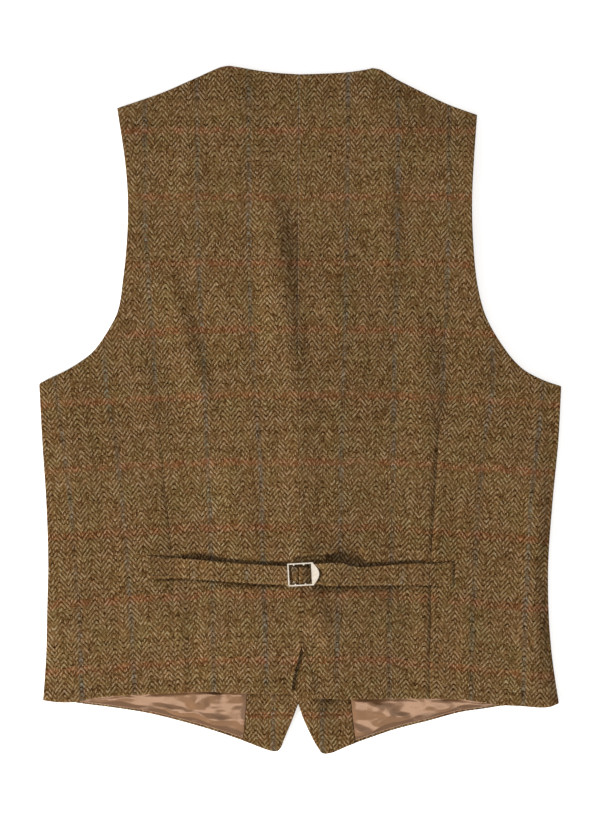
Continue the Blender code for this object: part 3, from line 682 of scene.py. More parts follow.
# %% The satin lining
LINING_INSET = 8.0
HEM_SHOWS = 1.2             # tweed that shows below the lining
LINING_FOLDS = {   # foot x, y, head x, y, width to the left, to the right, height
    "left": (
        (-150, -296, -96, -306, 6, 6, 0.8),
        (-109, -294, -93, -294, 12, 10, 1.8),
        (-78, -300, -70, -292, 8, 7, 0.8),
    ),
    "right": (
        (70, -302, 82, -296, 10, 10, 1.4),
        (88, -306, 100, -290, 7, 8, 1.2),
        (120, -294, 160, -290, 5, 7, 0.6),
    ),
}
HEM_FALL, HEM_FALL_REACH = 1.2, 4.6      # the lining's folded hem slopes down this much, over this far,
HEM_WAVES = ((0.3, 6.1), (0.25, 14.3))   # which varies along the hem: share, length of the wave / 2 pi
DIVE, DIVE_REACH = 1.2, (0.0, 3.3)       # and the lining dives under the back
SIDE_FALL = (6.0, 40.0)                  # at the side seam it lies flat
HELD, HELD_HEM, HELD_TOP = 5, 4, 7       # its folds begin this far from facing, hem and the back's hem

def lining(side):
    """The satin beside the facing, just short of the hem and of the side seam."""
    _, rest, top = nets[side]
    up, across = along_columns(rest), along_rows(rest)
    first = int(np.argmax(up.mean(axis=1) > HEM_SHOWS))
    last = int(np.argmax(across[-1, -1] - across[-1] < LINING_INSET))
    plan = rest[first:top + 1, :last].copy()
    plan[:, 0, 0] += OUT[side] * GAP
    x, y = plan[..., 0], plan[..., 1]
    from_hem, from_facing, shown = along_columns(plan), along_rows(plan), below_hem(side, x, y)
    wave = 1.0 + sum(share * np.sin(x / length) for share, length in HEM_WAVES)
    slope, held = from_hem / (HEM_FALL_REACH * wave), ease(from_facing, 0, HELD)
    fall = HEM_FALL * np.clip(slope, 0, 1) * ease(from_facing[:, -1:] - from_facing, *SIDE_FALL) * held
    room = held * ease(from_hem, 0, HELD_HEM)
    dive = np.minimum(fall, DIVE * (1 - ease(shown, *DIVE_REACH)) * room)
    folded = folds(LINING_FOLDS[side], x, y) * room * ease(shown, 0, HELD_TOP)
    level = front_level(side, x, y) + CLOTH + GAP + fall - dive + folded
    grains = ((0, front_grain(side, plan, 0.0)),)
    return shell(f"lining_{side}_satin", plan, level, LINING, grains, edge=slope)

linings = {side: lining(side) for side in SIDES}

# %% [markdown]
# ## The back strap
#
# Two tabs of folded tweed are sewn to the back near the darts. The left one runs through the buckle and
# ends under the right one, so the right one has a hump there. A strap between its fixed points never lies
# quite flat: its upper edge stands off the back and throws a shadow. The table gives both edges and how
# high each one lies.

# %% The straps. Columns: x, upper edge y, lower edge y, clear of the back, further lift of the upper edge
STRAPS = {
    "left": (
        (-153, -145.2, -167.6, 0.0, 0.0),
        (-126, -147.3, -167.3, 0.0, 0.2),
        (-112, -148.2, -167.6, 1.0, 3.4),
        (-92, -150.0, -168.8, 1.3, 3.0),
        (-78, -151.2, -169.8, 0.8, 1.1),
        (-54, -153.0, -171.8, 0.6, 0.9),
        (-34, -154.2, -172.8, 0.9, 0.8),
        (-17, -155.0, -173.2, 2.2, 0.5),
        (-8, -155.6, -173.6, 3.2, 0.0),
        (0, -156.0, -173.9, 4.0, 0.0),
        (7, -156.2, -174.0, 3.0, 0.0),
        (11, -156.0, -173.6, 0.1, 0.0),
        (44, -156.2, -173.6, 0.1, 0.0),
    ),
    "right": (
        (13.4, -153.4, -172.6, 1.9, 2.2),
        (18, -152.6, -173.0, 2.3, 5.2),
        (24, -152.4, -173.2, 3.0, 6.8),
        (31, -152.0, -173.6, 3.0, 6.4),
        (37, -151.4, -174.0, 2.4, 4.4),
        (42, -151.6, -174.2, 1.8, 2.6),
        (48, -153.8, -174.1, 1.5, 2.0),
        (54, -156.0, -174.0, 1.3, 1.8),
        (62, -156.3, -173.8, 1.0, 1.5),
        (84, -155.0, -173.5, 0.9, 1.1),
        (102, -153.4, -173.3, 0.7, 0.9),
        (119, -152.4, -173.5, 0.3, 0.3),
        (128, -153.6, -174.3, 0.0, 0.1),
        (154, -151.2, -176.6, 0.0, 0.0),
    ),
}
STRAP_STRIPE = {"left": -106.4, "right": 102.3}
STRAP_BAR_OFF = -2.0                                 # no bar of the check falls on the straps
STRAP_WIDTH, WIDTH_STEP, LENGTH_STEP = 20, 1.6, 2.0  # about, to space the rows and columns
STRAP_CREASE_X, STRAP_CREASE, STRAP_CREASE_WIDTH = -1.3, 1.6, 0.6   # pressed in by the buckle
STRAP_CREASE_COLUMNS = (-1.6, -1.0, -0.5, 0.0, 0.5, 1.0, 1.6)
STRAP_TAKEN, STRAP_TAKEN_AT = 4.4, (-36.0, -9.0)     # cloth that the buckle has drawn together there
STRAP_RADII = {"left": (4.0, 1.3, 1.1, 1.1), "right": (1.3, 4.0, 1.1, 1.1)}
STRAP_LEAST = {"left": (0.2, 0.4, 0.6, 0.35), "right": (0.4, 0.2, 0.6, 0.35)}
STRAP_PRESSED, STRAP_PRESSED_FROM = 0.5, (114.0, 130.0)     # the sewn ends are pressed to half the thickness
STRAP_EDGE_LINE = (1.2, ((15, -169.4), (32, -169.2), (50, -170.6)))   # the end below shows through here
NEARBY = (-3.0, -1.5, 0.0, 1.5, 3.0)                 # places whose mean softens the table's corners

def soft_row(x, knots, values):
    """A row of a table between its knots, without corners."""
    return np.mean([np.interp(x + shift, knots, values) for shift in NEARBY], axis=0)

def strap_place(side, x, share):
    """A point of a strap from its x and its share of the width from the lower edge: y, underside."""
    table = np.array(STRAPS[side], float)
    high, low, clear, lift = [soft_row(x, table[:, 0], table[:, k]) for k in range(1, 5)]
    y = low + (high - low) * share
    level = back_level(side, x, y, folded=False) + clear + lift * share**3
    return y, np.maximum(level, back_level(side, x, y)) + CLOTH + GAP

def strap_thick(side, x):
    """Thickness of a strap, which is less where it is sewn down."""
    return STRAP * (1 - STRAP_PRESSED * ease(OUT[side] * x, *STRAP_PRESSED_FROM))

def strap(side):
    """A strap of two layers, with pressed round edges."""
    start, end = STRAPS[side][0][0], STRAPS[side][-1][0]
    x = start + (end - start) * shares_along(end - start, LENGTH_STEP)
    if side == "left":
        x = np.unique(np.concatenate([x, STRAP_CREASE_X + np.array(STRAP_CREASE_COLUMNS)]))
    share = shares_along(STRAP_WIDTH, WIDTH_STEP)[:, None]
    x = np.broadcast_to(x, (len(share), len(x)))
    y, level = strap_place(side, x, share)
    if side == "left":
        taken = STRAP_TAKEN * ease(x, *STRAP_TAKEN_AT)
        dip = STRAP_CREASE * np.exp(-((x - STRAP_CREASE_X) / STRAP_CREASE_WIDTH) ** 2)
    else:
        taken, dip = 0.0, pressed((STRAP_EDGE_LINE,), x, y)
    grain = np.stack([x - STRAP_STRIPE[side] + taken, y + STRAP_BAR_OFF], axis=-1)
    return shell(f"strap_{side}_cloth", np.dstack([x, y]), level, strap_thick(side, x), ((0, grain),),
                 STRAP_RADII[side], STRAP_LEAST[side], dip, lying=True)

straps = {side: strap(side) for side in SIDES}

# %% [markdown]
# ## Thread
#
# Stitches are tiny, but they tell how a thing is made. Each one is a short bent tube that dips into the
# cloth at both ends. A curve object per stitch would be slow, so the tubes are worked out as one mesh: a
# ring of points at each place of each stitch.

# %% Tubes of thread
ARCH_ROUND, ARCH_SUNK = 1.6, 0.3      # how blunt a stitch's arch is, and the share of it that is sunk

def tubes(name, lines, radius, around=6):
    """One mesh of closed round tubes along lines of points, in millimetres."""
    points, faces = [], []
    for line in lines:
        line = np.array(line, float)
        ways = np.gradient(line, axis=0)
        ways /= np.linalg.norm(ways, axis=1)[:, None]
        aside = np.cross(ways, (0.0, 0.0, 1.0))
        aside[np.linalg.norm(aside, axis=1) < 1e-6] = (1.0, 0.0, 0.0)
        aside /= np.linalg.norm(aside, axis=1)[:, None]
        turns = np.linspace(0, 2 * math.pi, around, endpoint=False)
        first, last = len(points), len(points) + (len(line) - 1) * around
        for centre, right, top in zip(line, aside, np.cross(aside, ways)):
            points += [centre + radius * (math.cos(t) * right + math.sin(t) * top) for t in turns]
        for ring in range(first, last, around):
            for j in range(around):
                a, b = ring + j, ring + (j + 1) % around
                faces.append((a, b, b + around, a + around))
        faces.append(tuple(range(first + around - 1, first - 1, -1)))
        faces.append(tuple(range(last, last + around)))
    mesh = bpy.data.meshes.new(name)
    mesh.from_pydata(np.array(points) * MM, [], faces)
    mesh.shade_smooth()
    print(f"{name}: {len(lines)} stitches")
    return added(name, mesh)

def stitch(start, end, rise):
    """A stitch between two points: it dips in at both ends and bulges between."""
    start, end, shares = np.array(start, float), np.array(end, float), np.linspace(0, 1, 7)
    arch = rise * np.clip(np.sin(math.pi * shares) * ARCH_ROUND, 0, 1) - ARCH_SUNK * rise
    return start + (end - start) * shares[:, None] + np.outer(arch, (0, 0, 1))

# %% Stitches that hold the straps' ends
THREAD_RADIUS, STITCH_RISE, STITCH_LENGTH, STITCH_GAP, STITCH_INSET = 0.2, 0.3, 2.3, 0.7, 1.8
BOX = {"left": (-153.0 + STITCH_INSET, -125.8), "right": (128.6, 154.0 - STITCH_INSET)}
BOX_LOW, BOX_HIGH = 0.09, 0.91        # shares of the strap's width

def on_strap(side, x, share):
    """A point on top of a strap near its sewn end."""
    y, level = strap_place(side, x, share)
    (low, _), (high, _) = strap_place(side, x, 0.0), strap_place(side, x, 1.0)
    ways = (x - STRAPS[side][0][0], STRAPS[side][-1][0] - x, y - low, high - y)
    full = min(edge_profile(*parts) for parts in zip(ways, STRAP_RADII[side], STRAP_LEAST[side]))
    return float(x), float(y), float(level + strap_thick(side, x) * full)

def box_stitches(side):
    """A stitched box across the end of a strap."""
    left, right = BOX[side]
    corners = ((left, BOX_LOW), (right, BOX_LOW), (right, BOX_HIGH), (left, BOX_HIGH), (left, BOX_LOW))
    lines = []
    for (x1, s1), (x2, s2) in zip(corners, corners[1:]):
        run = math.dist(on_strap(side, x1, s1), on_strap(side, x2, s2))
        count = max(1, round(run / (STITCH_LENGTH + STITCH_GAP)))
        for k in range(count):
            shares = k / count, (k + STITCH_LENGTH / (STITCH_LENGTH + STITCH_GAP)) / count
            ends = [on_strap(side, x1 + (x2 - x1) * t, s1 + (s2 - s1) * t) for t in shares]
            lines.append(stitch(*ends, STITCH_RISE))
    return lines

strap_stitches = {side: tubes(f"strap_stitches_{side}", box_stitches(side), THREAD_RADIUS) for side in SIDES}

# %% [markdown]
# ## The buckle
#
# A slide buckle is stamped from sheet metal and polished: a frame with a window, four teeth that grip the
# strap and a rounded plate that holds the other strap's end. Its outline is drawn once as a flat curve with
# a hole. Blender fills it, gives it thickness and rounds its edges with a bevel, as a stamping has them.

# %% The buckle
BUCKLE_X, BUCKLE_Y, BUCKLE_TILT = 0.3, -163.7, 3.0
BUCKLE_WIDTH, BUCKLE_HEIGHT, BUCKLE_BAR, BUCKLE_THICK, BUCKLE_ROUND = 25.6, 23.4, 1.8, 1.5, 0.45
BUCKLE_CORNER, BUCKLE_CLEAR, PLATE_REACH, TOOTH, TOOTH_TIP = 1.2, 5.2, 6.3, 1.3, 0.3
TEETH_HIGH, TEETH_LOW = (3.8, -6.0), (-5.4, 4.6)      # places of the teeth along both bars
PLATE_FULLNESS = 1.25                                 # 1 is an arc, more draws the plate to a blunt point
PLATE_POINTS, CORNER_DEGREES = 33, 15

def buckle():
    """The frame with its plate and its teeth, from one outline with a window."""
    half_w, half_h = BUCKLE_WIDTH / 2, BUCKLE_HEIGHT / 2
    outer = [(half_w + PLATE_REACH * (1 - turn**2) ** PLATE_FULLNESS, half_h * turn)
             for turn in np.linspace(-1, 1, PLATE_POINTS)]
    for centre_y, first in ((half_h - BUCKLE_CORNER, 90), (BUCKLE_CORNER - half_h, 180)):
        for turn in np.radians(range(first, first + 91, CORNER_DEGREES)):
            outer.append((BUCKLE_CORNER * (1 + math.cos(turn)) - half_w,
                          centre_y + BUCKLE_CORNER * math.sin(turn)))
    window_x, window_y = half_w - BUCKLE_BAR, half_h - BUCKLE_BAR
    tooth = ((TOOTH, 0), (TOOTH_TIP, TOOTH), (-TOOTH_TIP, TOOTH), (-TOOTH, 0))
    window = []
    for up, teeth in ((-1, TEETH_LOW), (1, TEETH_HIGH)):
        window.append((up * window_x, up * window_y))
        window += [(middle + up * aside, up * (window_y - deep)) for middle in teeth for aside, deep in tooth]
        window.append((-up * window_x, up * window_y))
    curve = bpy.data.curves.new("buckle_outline", "CURVE")
    curve.dimensions, curve.fill_mode, curve.bevel_resolution = "2D", "BOTH", 3
    curve.extrude = (BUCKLE_THICK / 2 - BUCKLE_ROUND) * MM
    curve.bevel_depth, curve.offset = BUCKLE_ROUND * MM, -BUCKLE_ROUND * MM
    for loop in (outer, window):
        line = curve.splines.new("POLY")
        line.points.add(len(loop) - 1)
        for point, (x, y) in zip(line.points, loop):
            point.co = (x * MM, y * MM, 0, 1)
        line.use_cyclic_u = True
    drawn = bpy.data.objects.new("buckle_outline", curve)
    piece = added("buckle_metal", bpy.data.meshes.new_from_object(drawn))
    bpy.data.objects.remove(drawn)
    ground = float(back_level("right", BUCKLE_X, BUCKLE_Y, folded=False)) + CLOTH
    level = ground + BUCKLE_CLEAR + BUCKLE_THICK / 2
    piece.location = (BUCKLE_X * MM, BUCKLE_Y * MM, level * MM)
    piece.rotation_euler.z = math.radians(BUCKLE_TILT)
    print("buckle_metal:", len(piece.data.polygons), "faces, top in mm:", round(level + BUCKLE_THICK / 2, 1))
    return piece

buckle_piece = buckle()

# %% [markdown]
# ## Buttons and buttonholes
#
# The waistcoat lies on its buttons, so they only show from underneath. Horn buttons are turned on a lathe:
# a raised rim, a dished middle and a sloped back. Screw or spin tools turn a profile just like that, and
# the four holes are drilled with a Boolean, because a drill is what makes them. A buttonhole in the left
# front is drawn by its dense stitches, a row along each lip.

# %% A button
BUTTON_RIM, BUTTON_DISH, BUTTON_ROUND, BUTTON_SLOPE = 1.6, 0.7, 0.5, 1.1
DISH_FLAT, DISH_RUN = 3.2, 1.6                # radius of the dish's level middle, how far its side slants
BUTTON_HOLE, BUTTON_HOLES_OUT, HOLE_TURN = 0.8, 1.7, 45
BUTTON_STEPS, HOLE_STEPS, SHARP_ANGLE = 64, 20, 40
RIM_STEPS, ROUND_STEPS, SLOPE_STEPS = 6, 6, 7
BUTTON_TURNS = (0, 7, -5, 3, -9)              # degrees

def turned(name, profile, steps):
    """A closed form turned around the upright axis from (radius, height) pairs, in millimetres."""
    bm = bmesh.new()
    points = [bm.verts.new((r * MM, 0, z * MM)) for r, z in profile]
    edges = [bm.edges.new(pair) for pair in zip(points, points[1:])]
    bmesh.ops.spin(bm, geom=points + edges, cent=(0, 0, 0), axis=(0, 0, 1), angle=2 * math.pi, steps=steps,
                   use_merge=True)
    bmesh.ops.remove_doubles(bm, verts=bm.verts, dist=1e-6)
    bmesh.ops.recalc_face_normals(bm, faces=bm.faces)
    mesh = bpy.data.meshes.new(name)
    bm.to_mesh(mesh)
    bm.free()
    return added(name, mesh)

def button_mesh():
    """A four-hole button with its rim down."""
    radius, quarter = BUTTON_DIAMETER / 2, math.pi / 2
    rim = [(radius - BUTTON_RIM - BUTTON_DISH * (1 - t) * DISH_RUN,
            BUTTON_DISH * (1 + math.cos(math.pi * t)) / 2) for t in np.linspace(0, 1, RIM_STEPS)]
    edge = [(radius - BUTTON_ROUND * (1 - math.sin(t)), BUTTON_ROUND * (1 - math.cos(t)))
            for t in np.linspace(0, quarter, ROUND_STEPS)]
    slope = [(radius - 2 * BUTTON_SLOPE * (1 - math.cos(t)), BUTTON_THICK - BUTTON_SLOPE * (1 - math.sin(t)))
             for t in np.linspace(0, quarter, SLOPE_STEPS)]
    profile = [(0, BUTTON_DISH), (DISH_FLAT, BUTTON_DISH), *rim, *edge, *slope, (0, BUTTON_THICK)]
    body = turned("button_body", profile, BUTTON_STEPS)
    bit = ((0, -1), (BUTTON_HOLE, -1), (BUTTON_HOLE, BUTTON_THICK + 1), (0, BUTTON_THICK + 1))
    drills = [turned("drill", bit, HOLE_STEPS) for _ in range(4)]
    for k, drill in enumerate(drills):
        turn = math.radians(HOLE_TURN + 90 * k)
        drill.location = (BUTTON_HOLES_OUT * math.cos(turn) * MM, BUTTON_HOLES_OUT * math.sin(turn) * MM, 0)
        cut = body.modifiers.new("hole", "BOOLEAN")
        cut.object, cut.solver = drill, "EXACT"
    bpy.context.view_layer.update()
    mesh = bpy.data.meshes.new_from_object(body.evaluated_get(bpy.context.evaluated_depsgraph_get()))
    for used in (body, *drills):
        bpy.data.objects.remove(used)
    mesh.shade_smooth()
    mesh.set_sharp_from_angle(angle=math.radians(SHARP_ANGLE))
    print("button:", len(mesh.polygons), "faces")
    return mesh

horn_mesh = button_mesh()
button_places = [(BUTTON_X, BUTTON_TOP_Y - k * BUTTON_PITCH) for k in range(BUTTON_COUNT)]
buttons = [added(f"button_{k + 1}_horn", horn_mesh.copy()) for k in range(BUTTON_COUNT)]
for piece, (x, y), degrees in zip(buttons, button_places, BUTTON_TURNS):
    piece.location = (x * MM, y * MM, 0)
    piece.rotation_euler.z = math.radians(degrees)

# %% Threads through the buttons, and the buttonholes
STRAND_RADIUS, STRAND_OFF = 0.26, 0.28       # two strands lie side by side through each pair of holes
STRAND_LOW, STRAND_TOP, STRAND_BEND = 0.45, BUTTON_THICK + 0.25, 0.9   # in the dish, in the cloth, between
STRAND_AT, STRAND_RUN = (0, 0.14, 0.3, 0.7, 0.86, 1), (0, 0.04, 0.96, 1)
BUTTONHOLE_LENGTH, BUTTONHOLE_END, BUTTONHOLE_PITCH = 19.0, 2.5, 0.55
BUTTONHOLE_LIP = (0.25, 1.5)                 # from where to where its stitches reach, off the slit
LIP_RADIUS, LIP_RISE, LIP_CLEAR = 0.2, -0.22, 0.02

def button_threads():
    """Two strands side by side through the holes of each button and up into the cloth."""
    lines, shares = [], np.linspace(0, 1, 9)
    out = BUTTON_HOLES_OUT * math.sin(math.radians(HOLE_TURN))
    heights = (STRAND_TOP, STRAND_BEND, STRAND_LOW, STRAND_LOW, STRAND_BEND, STRAND_TOP)
    depth = np.interp(shares, STRAND_AT, heights)
    run = np.interp(shares, (STRAND_AT[0], STRAND_AT[1], STRAND_AT[-2], STRAND_AT[-1]), STRAND_RUN)
    for piece, (x, y) in zip(buttons, button_places):
        turn = piece.rotation_euler.z
        for b in (-out - STRAND_OFF, -out + STRAND_OFF, out - STRAND_OFF, out + STRAND_OFF):
            (x1, y1), (x2, y2) = [(x + a * math.cos(turn) - b * math.sin(turn),
                                   y + a * math.sin(turn) + b * math.cos(turn)) for a in (-out, out)]
            lines.append(np.column_stack([x1 + (x2 - x1) * run, y1 + (y2 - y1) * run, depth]))
    return tubes("button_threads", lines, STRAND_RADIUS)

def buttonholes():
    """Dense stitches across both lips of each slit in the left front, on its outer face."""
    lines = []
    for middle, y in button_places:
        start = middle + BUTTONHOLE_END
        for lip in (-1, 1):
            for x in np.arange(start, start - BUTTONHOLE_LENGTH, -BUTTONHOLE_PITCH):
                ends = [(x, y + lip * off, float(front_level("left", x, y + lip * off)) + LIP_CLEAR)
                        for off in BUTTONHOLE_LIP]
                lines.append(stitch(*ends, LIP_RISE))
    return tubes("buttonholes", lines, LIP_RADIUS, around=5)

threads = button_threads()
holes = buttonholes()

# %% [markdown]
# ## A short hand for node trees
#
# A weave is arithmetic: count the threads, see which one is on top, and colour it. In Blender that is a
# chain of Math nodes, which is tedious to write one by one. So a small class stands for a value on its way
# through a node tree, and plain sums and products of it add the nodes. The trees can be opened in the
# shader editor as usual.

# %% Values that flow through a node tree
class Flow:
    """A value on its way through a node tree. Sums, products and functions of it add the nodes for them."""
    def __init__(self, tree, socket):
        self.tree, self.socket = tree, socket

    def math(self, operation, *others):
        return flow(self.tree, "Math", (self, *others), operation=operation)

    def __add__(self, other):
        return self.math("ADD", other)

    def __sub__(self, other):
        return self.math("SUBTRACT", other)

    def __mul__(self, other):
        return self.math("MULTIPLY", other)

    def __truediv__(self, other):
        return self.math("DIVIDE", other)

    def __lt__(self, other):
        return self.math("LESS_THAN", other)

    def floor(self):
        return self.math("FLOOR")

    def wrap(self, pitch):
        return self.math("FLOORED_MODULO", pitch)

    def step(self, low, high, start=0.0, end=1.0):
        """From start to end, with soft ends, while the value goes from low to high."""
        return flow(self.tree, "MapRange", (self, low, high, start, end), interpolation_type="SMOOTHSTEP")

def feed(target, source):
    """Link a socket to a flow, or set it to a plain number or colour."""
    if isinstance(source, Flow):
        source.tree.links.new(source.socket, target)
    else:
        target.default_value = source

def flow(tree, kind, given=(), output=0, **options):
    """A new node with its options set and its sockets fed, in order or from a dict: one of its outputs."""
    node = tree.nodes.new("ShaderNode" + kind)
    for label, value in options.items():
        setattr(node, label, value)
    for label, value in given.items() if isinstance(given, dict) else enumerate(given):
        feed(node.inputs[label], value)
    return Flow(tree, node.outputs[output])

def dome(value):
    """1 in the middle of the stretch from 0 to 1, and 0 at both ends, as across a round thread."""
    off = value * 2.0 - 1.0
    return off * off * -1.0 + 1.0

def blend(share, first, second):
    """A mix of two colours."""
    return flow(share.tree, "Mix", {0: share, 6: first, 7: second}, 2, data_type="RGBA")

def vector(x, y, z=0.0):
    return flow(x.tree, "CombineXYZ", (x, y, z))

def values_of(place, count=3):
    """The first of the three values of a place, each as a flow."""
    split = flow(place.tree, "SeparateXYZ", (place,)).socket.node
    return [Flow(place.tree, split.outputs[k]) for k in range(count)]

def noise(place, scale, detail=2.0, roughness=0.5, output="Fac"):
    """Smooth noise around 0.5. scale is how many lumps there are in one unit of the place."""
    given = {"Vector": place, "Scale": scale, "Detail": detail, "Roughness": roughness}
    return flow(place.tree, "TexNoise", given, output)

def chance(place):
    """A random value from 0 to 1 for each whole number of the place."""
    return flow(place.tree, "TexWhiteNoise", {"Vector": place}, "Value")

def shifted(place, distance):
    """The same place in another part of a noise."""
    return flow(place.tree, "VectorMath", (place, (distance, -distance, 2 * distance)), operation="ADD")

def patch(place, shift, scale, detail, low, high, start=0.0, end=1.0, roughness=0.5):
    """Patches of noise: from start to end while the noise, read elsewhere, goes from low to high."""
    return noise(shifted(place, shift), scale, detail, roughness).step(low, high, start, end)

def bump(height, distance, **below):
    """A normal that follows a height. distance is how many metres a height of 1 stands for."""
    return flow(height.tree, "Bump", {"Distance": distance, "Height": height, **below}, "Normal")

def new_group(name, inputs, outputs):
    """A node group with named sockets: its tree, its inputs by name, and the sockets that it puts out.
    An input's value tells its kind: a number, a colour, or None for a vector."""
    tree = bpy.data.node_groups.new(name, "ShaderNodeTree")
    for label, value in inputs.items():
        kind = "Vector" if value is None else "Float" if isinstance(value, float) else "Color"
        socket = tree.interface.new_socket(label, in_out="INPUT", socket_type="NodeSocket" + kind)
        if value is not None:
            socket.default_value = value
    for label, kind in outputs.items():
        tree.interface.new_socket(label, in_out="OUTPUT", socket_type="NodeSocket" + kind)
    entry, leave = tree.nodes.new("NodeGroupInput"), tree.nodes.new("NodeGroupOutput")
    return tree, {s.name: Flow(tree, s) for s in entry.outputs if s.name}, leave.inputs

def use_group(tree, name, **given):
    """Place a group in a tree. A socket's name is given with _ for a space. Returns its outputs by name."""
    given = {label.replace("_", " "): value for label, value in given.items()}
    node = flow(tree, "Group", given, node_tree=bpy.data.node_groups[name]).socket.node
    return {s.name: Flow(tree, s) for s in node.outputs}

def on_bolt(tree):
    """The place on the bolt of cloth in millimetres: across and along the grain."""
    return [value * 1000.0 for value in values_of(flow(tree, "UVMap", uv_map="grain"), 2)]

def on_object(tree):
    """The place on a solid thing in millimetres: x, y and z."""
    return [value * 1000.0 for value in values_of(flow(tree, "TexCoord", (), "Object"))]

# %% [markdown]
# ## Herringbone
#
# The tweed is a twill: each warp thread goes over two and under two, one step further on than its
# neighbour, so the floats line up in slanted ribs. After eight or nine threads the steps turn back, and the
# ribs make arrows. An image would repeat and blur. The nodes count the threads instead, so it stays sharp
# at any distance, and they give the height of each thread as well as how light it is.

# %% The herringbone group
PICK_PITCH, ENDS_IN_ARM, ARMS_IN_STRIPE = 1.25, 8.6, 6    # millimetres; warp threads in an arm of the arrows
STRIPE_PITCH = 52.7                                       # from one blue stripe to the next
END_PITCH = STRIPE_PITCH / ARMS_IN_STRIPE / ENDS_IN_ARM
LOT, LOT_RUN, LOT_APART = 0.5, 0.16, 3.7                  # dye along a thread: share, lumps in a mm, step
LOOP, SPECK = 0.7, 0.4                                    # shares of what differs by float and by crossing
REPEAT, OVER = 4.0, 1.5                                   # of four crossings, numbers 0 and 1 are over

def herringbone():
    tree, given, leave = new_group(
        "Herringbone", {"Across": 0.0, "Along": 0.0, "End pitch": END_PITCH, "Pick pitch": PICK_PITCH,
                        "Ends in an arm": ENDS_IN_ARM},
        {"Warp on top": "Float", "Height": "Float", "Thread": "Float"})
    end, pick = given["Across"] / given["End pitch"], given["Along"] / given["Pick pitch"]
    arm, end_number, pick_number = given["Ends in an arm"], end.floor(), pick.floor()
    turn, slant = (end_number + 0.5).math("PINGPONG", arm).floor(), end.math("PINGPONG", arm)
    on_top = (pick_number + turn).wrap(REPEAT) < OVER

    def either(warp, weft):
        """The warp's value where it is on top, and the weft's elsewhere."""
        return on_top * warp + (on_top * -1.0 + 1.0) * weft

    warp_float = (pick + turn).wrap(REPEAT) * 0.5
    weft_float = ((pick_number + slant).wrap(REPEAT) - 2.0) * 0.5
    height = either(dome(end.wrap(1.0)) * 0.5 + dome(warp_float) * 0.5,
                    dome(pick.wrap(1.0)) * 0.5 + dome(weft_float) * 0.5)
    lot = either(noise(vector(end_number * LOT_APART, given["Along"] * LOT_RUN), 1.0) - 0.5,
                 noise(vector(given["Across"] * LOT_RUN, pick_number * LOT_APART), 1.0) - 0.5)
    loop = either(chance(vector(end_number, ((pick + turn) * (1 / REPEAT)).floor())) - 0.5,
                  chance(vector(((pick_number + slant) * (1 / REPEAT)).floor(), pick_number, 5.0)) - 0.5)
    speck = chance(vector(end_number, pick_number, 9.0)) - 0.5
    feed(leave["Warp on top"], on_top)
    feed(leave["Height"], height)
    feed(leave["Thread"], lot * LOT + loop * LOOP + speck * SPECK + 0.5)

herringbone()

# %% [markdown]
# ## Overcheck
#
# A few of the threads have another colour: about every 53 mm a blue-grey stripe runs along the cloth, and
# about every 66 mm a rust bar runs across it. Only the warp is blue in the stripe, and only the weft is
# rust in the bar. So the group gives two masks and no colours.

# %% The overcheck group
STRIPE_WIDTH, STRIPE_SOFT, BAR_WIDTH, BAR_SOFT = 5.0, 1.0, 7.2, 1.3     # and how far their edges run out

def overcheck():
    tree, given, leave = new_group(
        "Overcheck", {"Across": 0.0, "Along": 0.0, "Stripe pitch": STRIPE_PITCH, "Stripe width": STRIPE_WIDTH,
                      "Bar pitch": BAR_PITCH, "Bar place": BAR_Y, "Bar width": BAR_WIDTH},
        {"Stripe": "Float", "Bar": "Float"})
    for name, place, soft in (("Stripe", given["Across"], STRIPE_SOFT),
                              ("Bar", given["Along"] - given["Bar place"], BAR_SOFT)):
        pitch, width = given[name + " pitch"], given[name + " width"]
        off = ((place + pitch * 0.5).wrap(pitch) - pitch * 0.5).math("ABSOLUTE")
        feed(leave[name], (off - width * 0.5).step(-soft, soft, 1.0, 0.0))

overcheck()

# %% [markdown]
# ## Heather
#
# Tweed yarn is spun from dyed wool of several colours, which never mix evenly. From afar that gives cloudy
# patches of olive, ochre and rust, and close up flecks of gold. Noise at four sizes does the same, from
# clouds of a few centimetres to flecks of two millimetres. A thread that takes up more dye is darker and
# also richer in colour, so the red, green and blue of a thread are dimmed by different powers of the same
# number.

# %% The heather group
LOT_CONTRAST = 0.82                 # how much darker or lighter single threads are
DEPTH_OF_DYE = (0.83, 1.05, 1.44)   # dark wool keeps more red than blue, so it looks richer
DYES = (    # a patch's shift, lumps in a millimetre, detail and where it sets in; its share and tint
    ((0.0, 0.03, 3.0, 0.4, 0.65), 1.0, (0.9, 1.03, 0.82, 1)),       # olive
    ((31.0, 0.05, 3.0, 0.45, 0.7), 1.0, (1.07, 0.99, 0.85, 1)),     # ochre
    ((67.0, 0.12, 3.0, 0.5, 0.75), 1.0, (1.14, 0.94, 0.9, 1)),      # rust
    ((11.0, 0.42, 2.0, 0.58, 0.75), 0.8, (1.12, 1.06, 0.72, 1)),    # gold
)
CLOUD = (40.0, 0.11, 3.0, 0.3, 0.7, 0.88, 1.12, 0.6)     # a patch that dims and lightens all colours
UNDYED = (0.2, 0.1, 0.05, 1)

def times(first, second):
    """Two colours multiplied."""
    return flow(first.tree, "VectorMath", (first, second), operation="MULTIPLY")

def heather():
    tree, given, leave = new_group(
        "Heather", {"Colour": UNDYED, "Place": None, "Thread": 0.5, "Amount": 1.0},
        {"Colour": "Color"})
    place, tint = given["Place"], (1, 1, 1, 1)
    for look, share, dye in DYES:
        tint = blend(patch(place, *look) * given["Amount"] * share, tint, dye)
    light = (given["Thread"] * 2.0 * LOT_CONTRAST + (1.0 - LOT_CONTRAST)) * patch(place, *CLOUD)
    strength = vector(*[light.math("POWER", power) for power in DEPTH_OF_DYE])
    feed(leave["Colour"], times(times(given["Colour"], tint), strength))

heather()

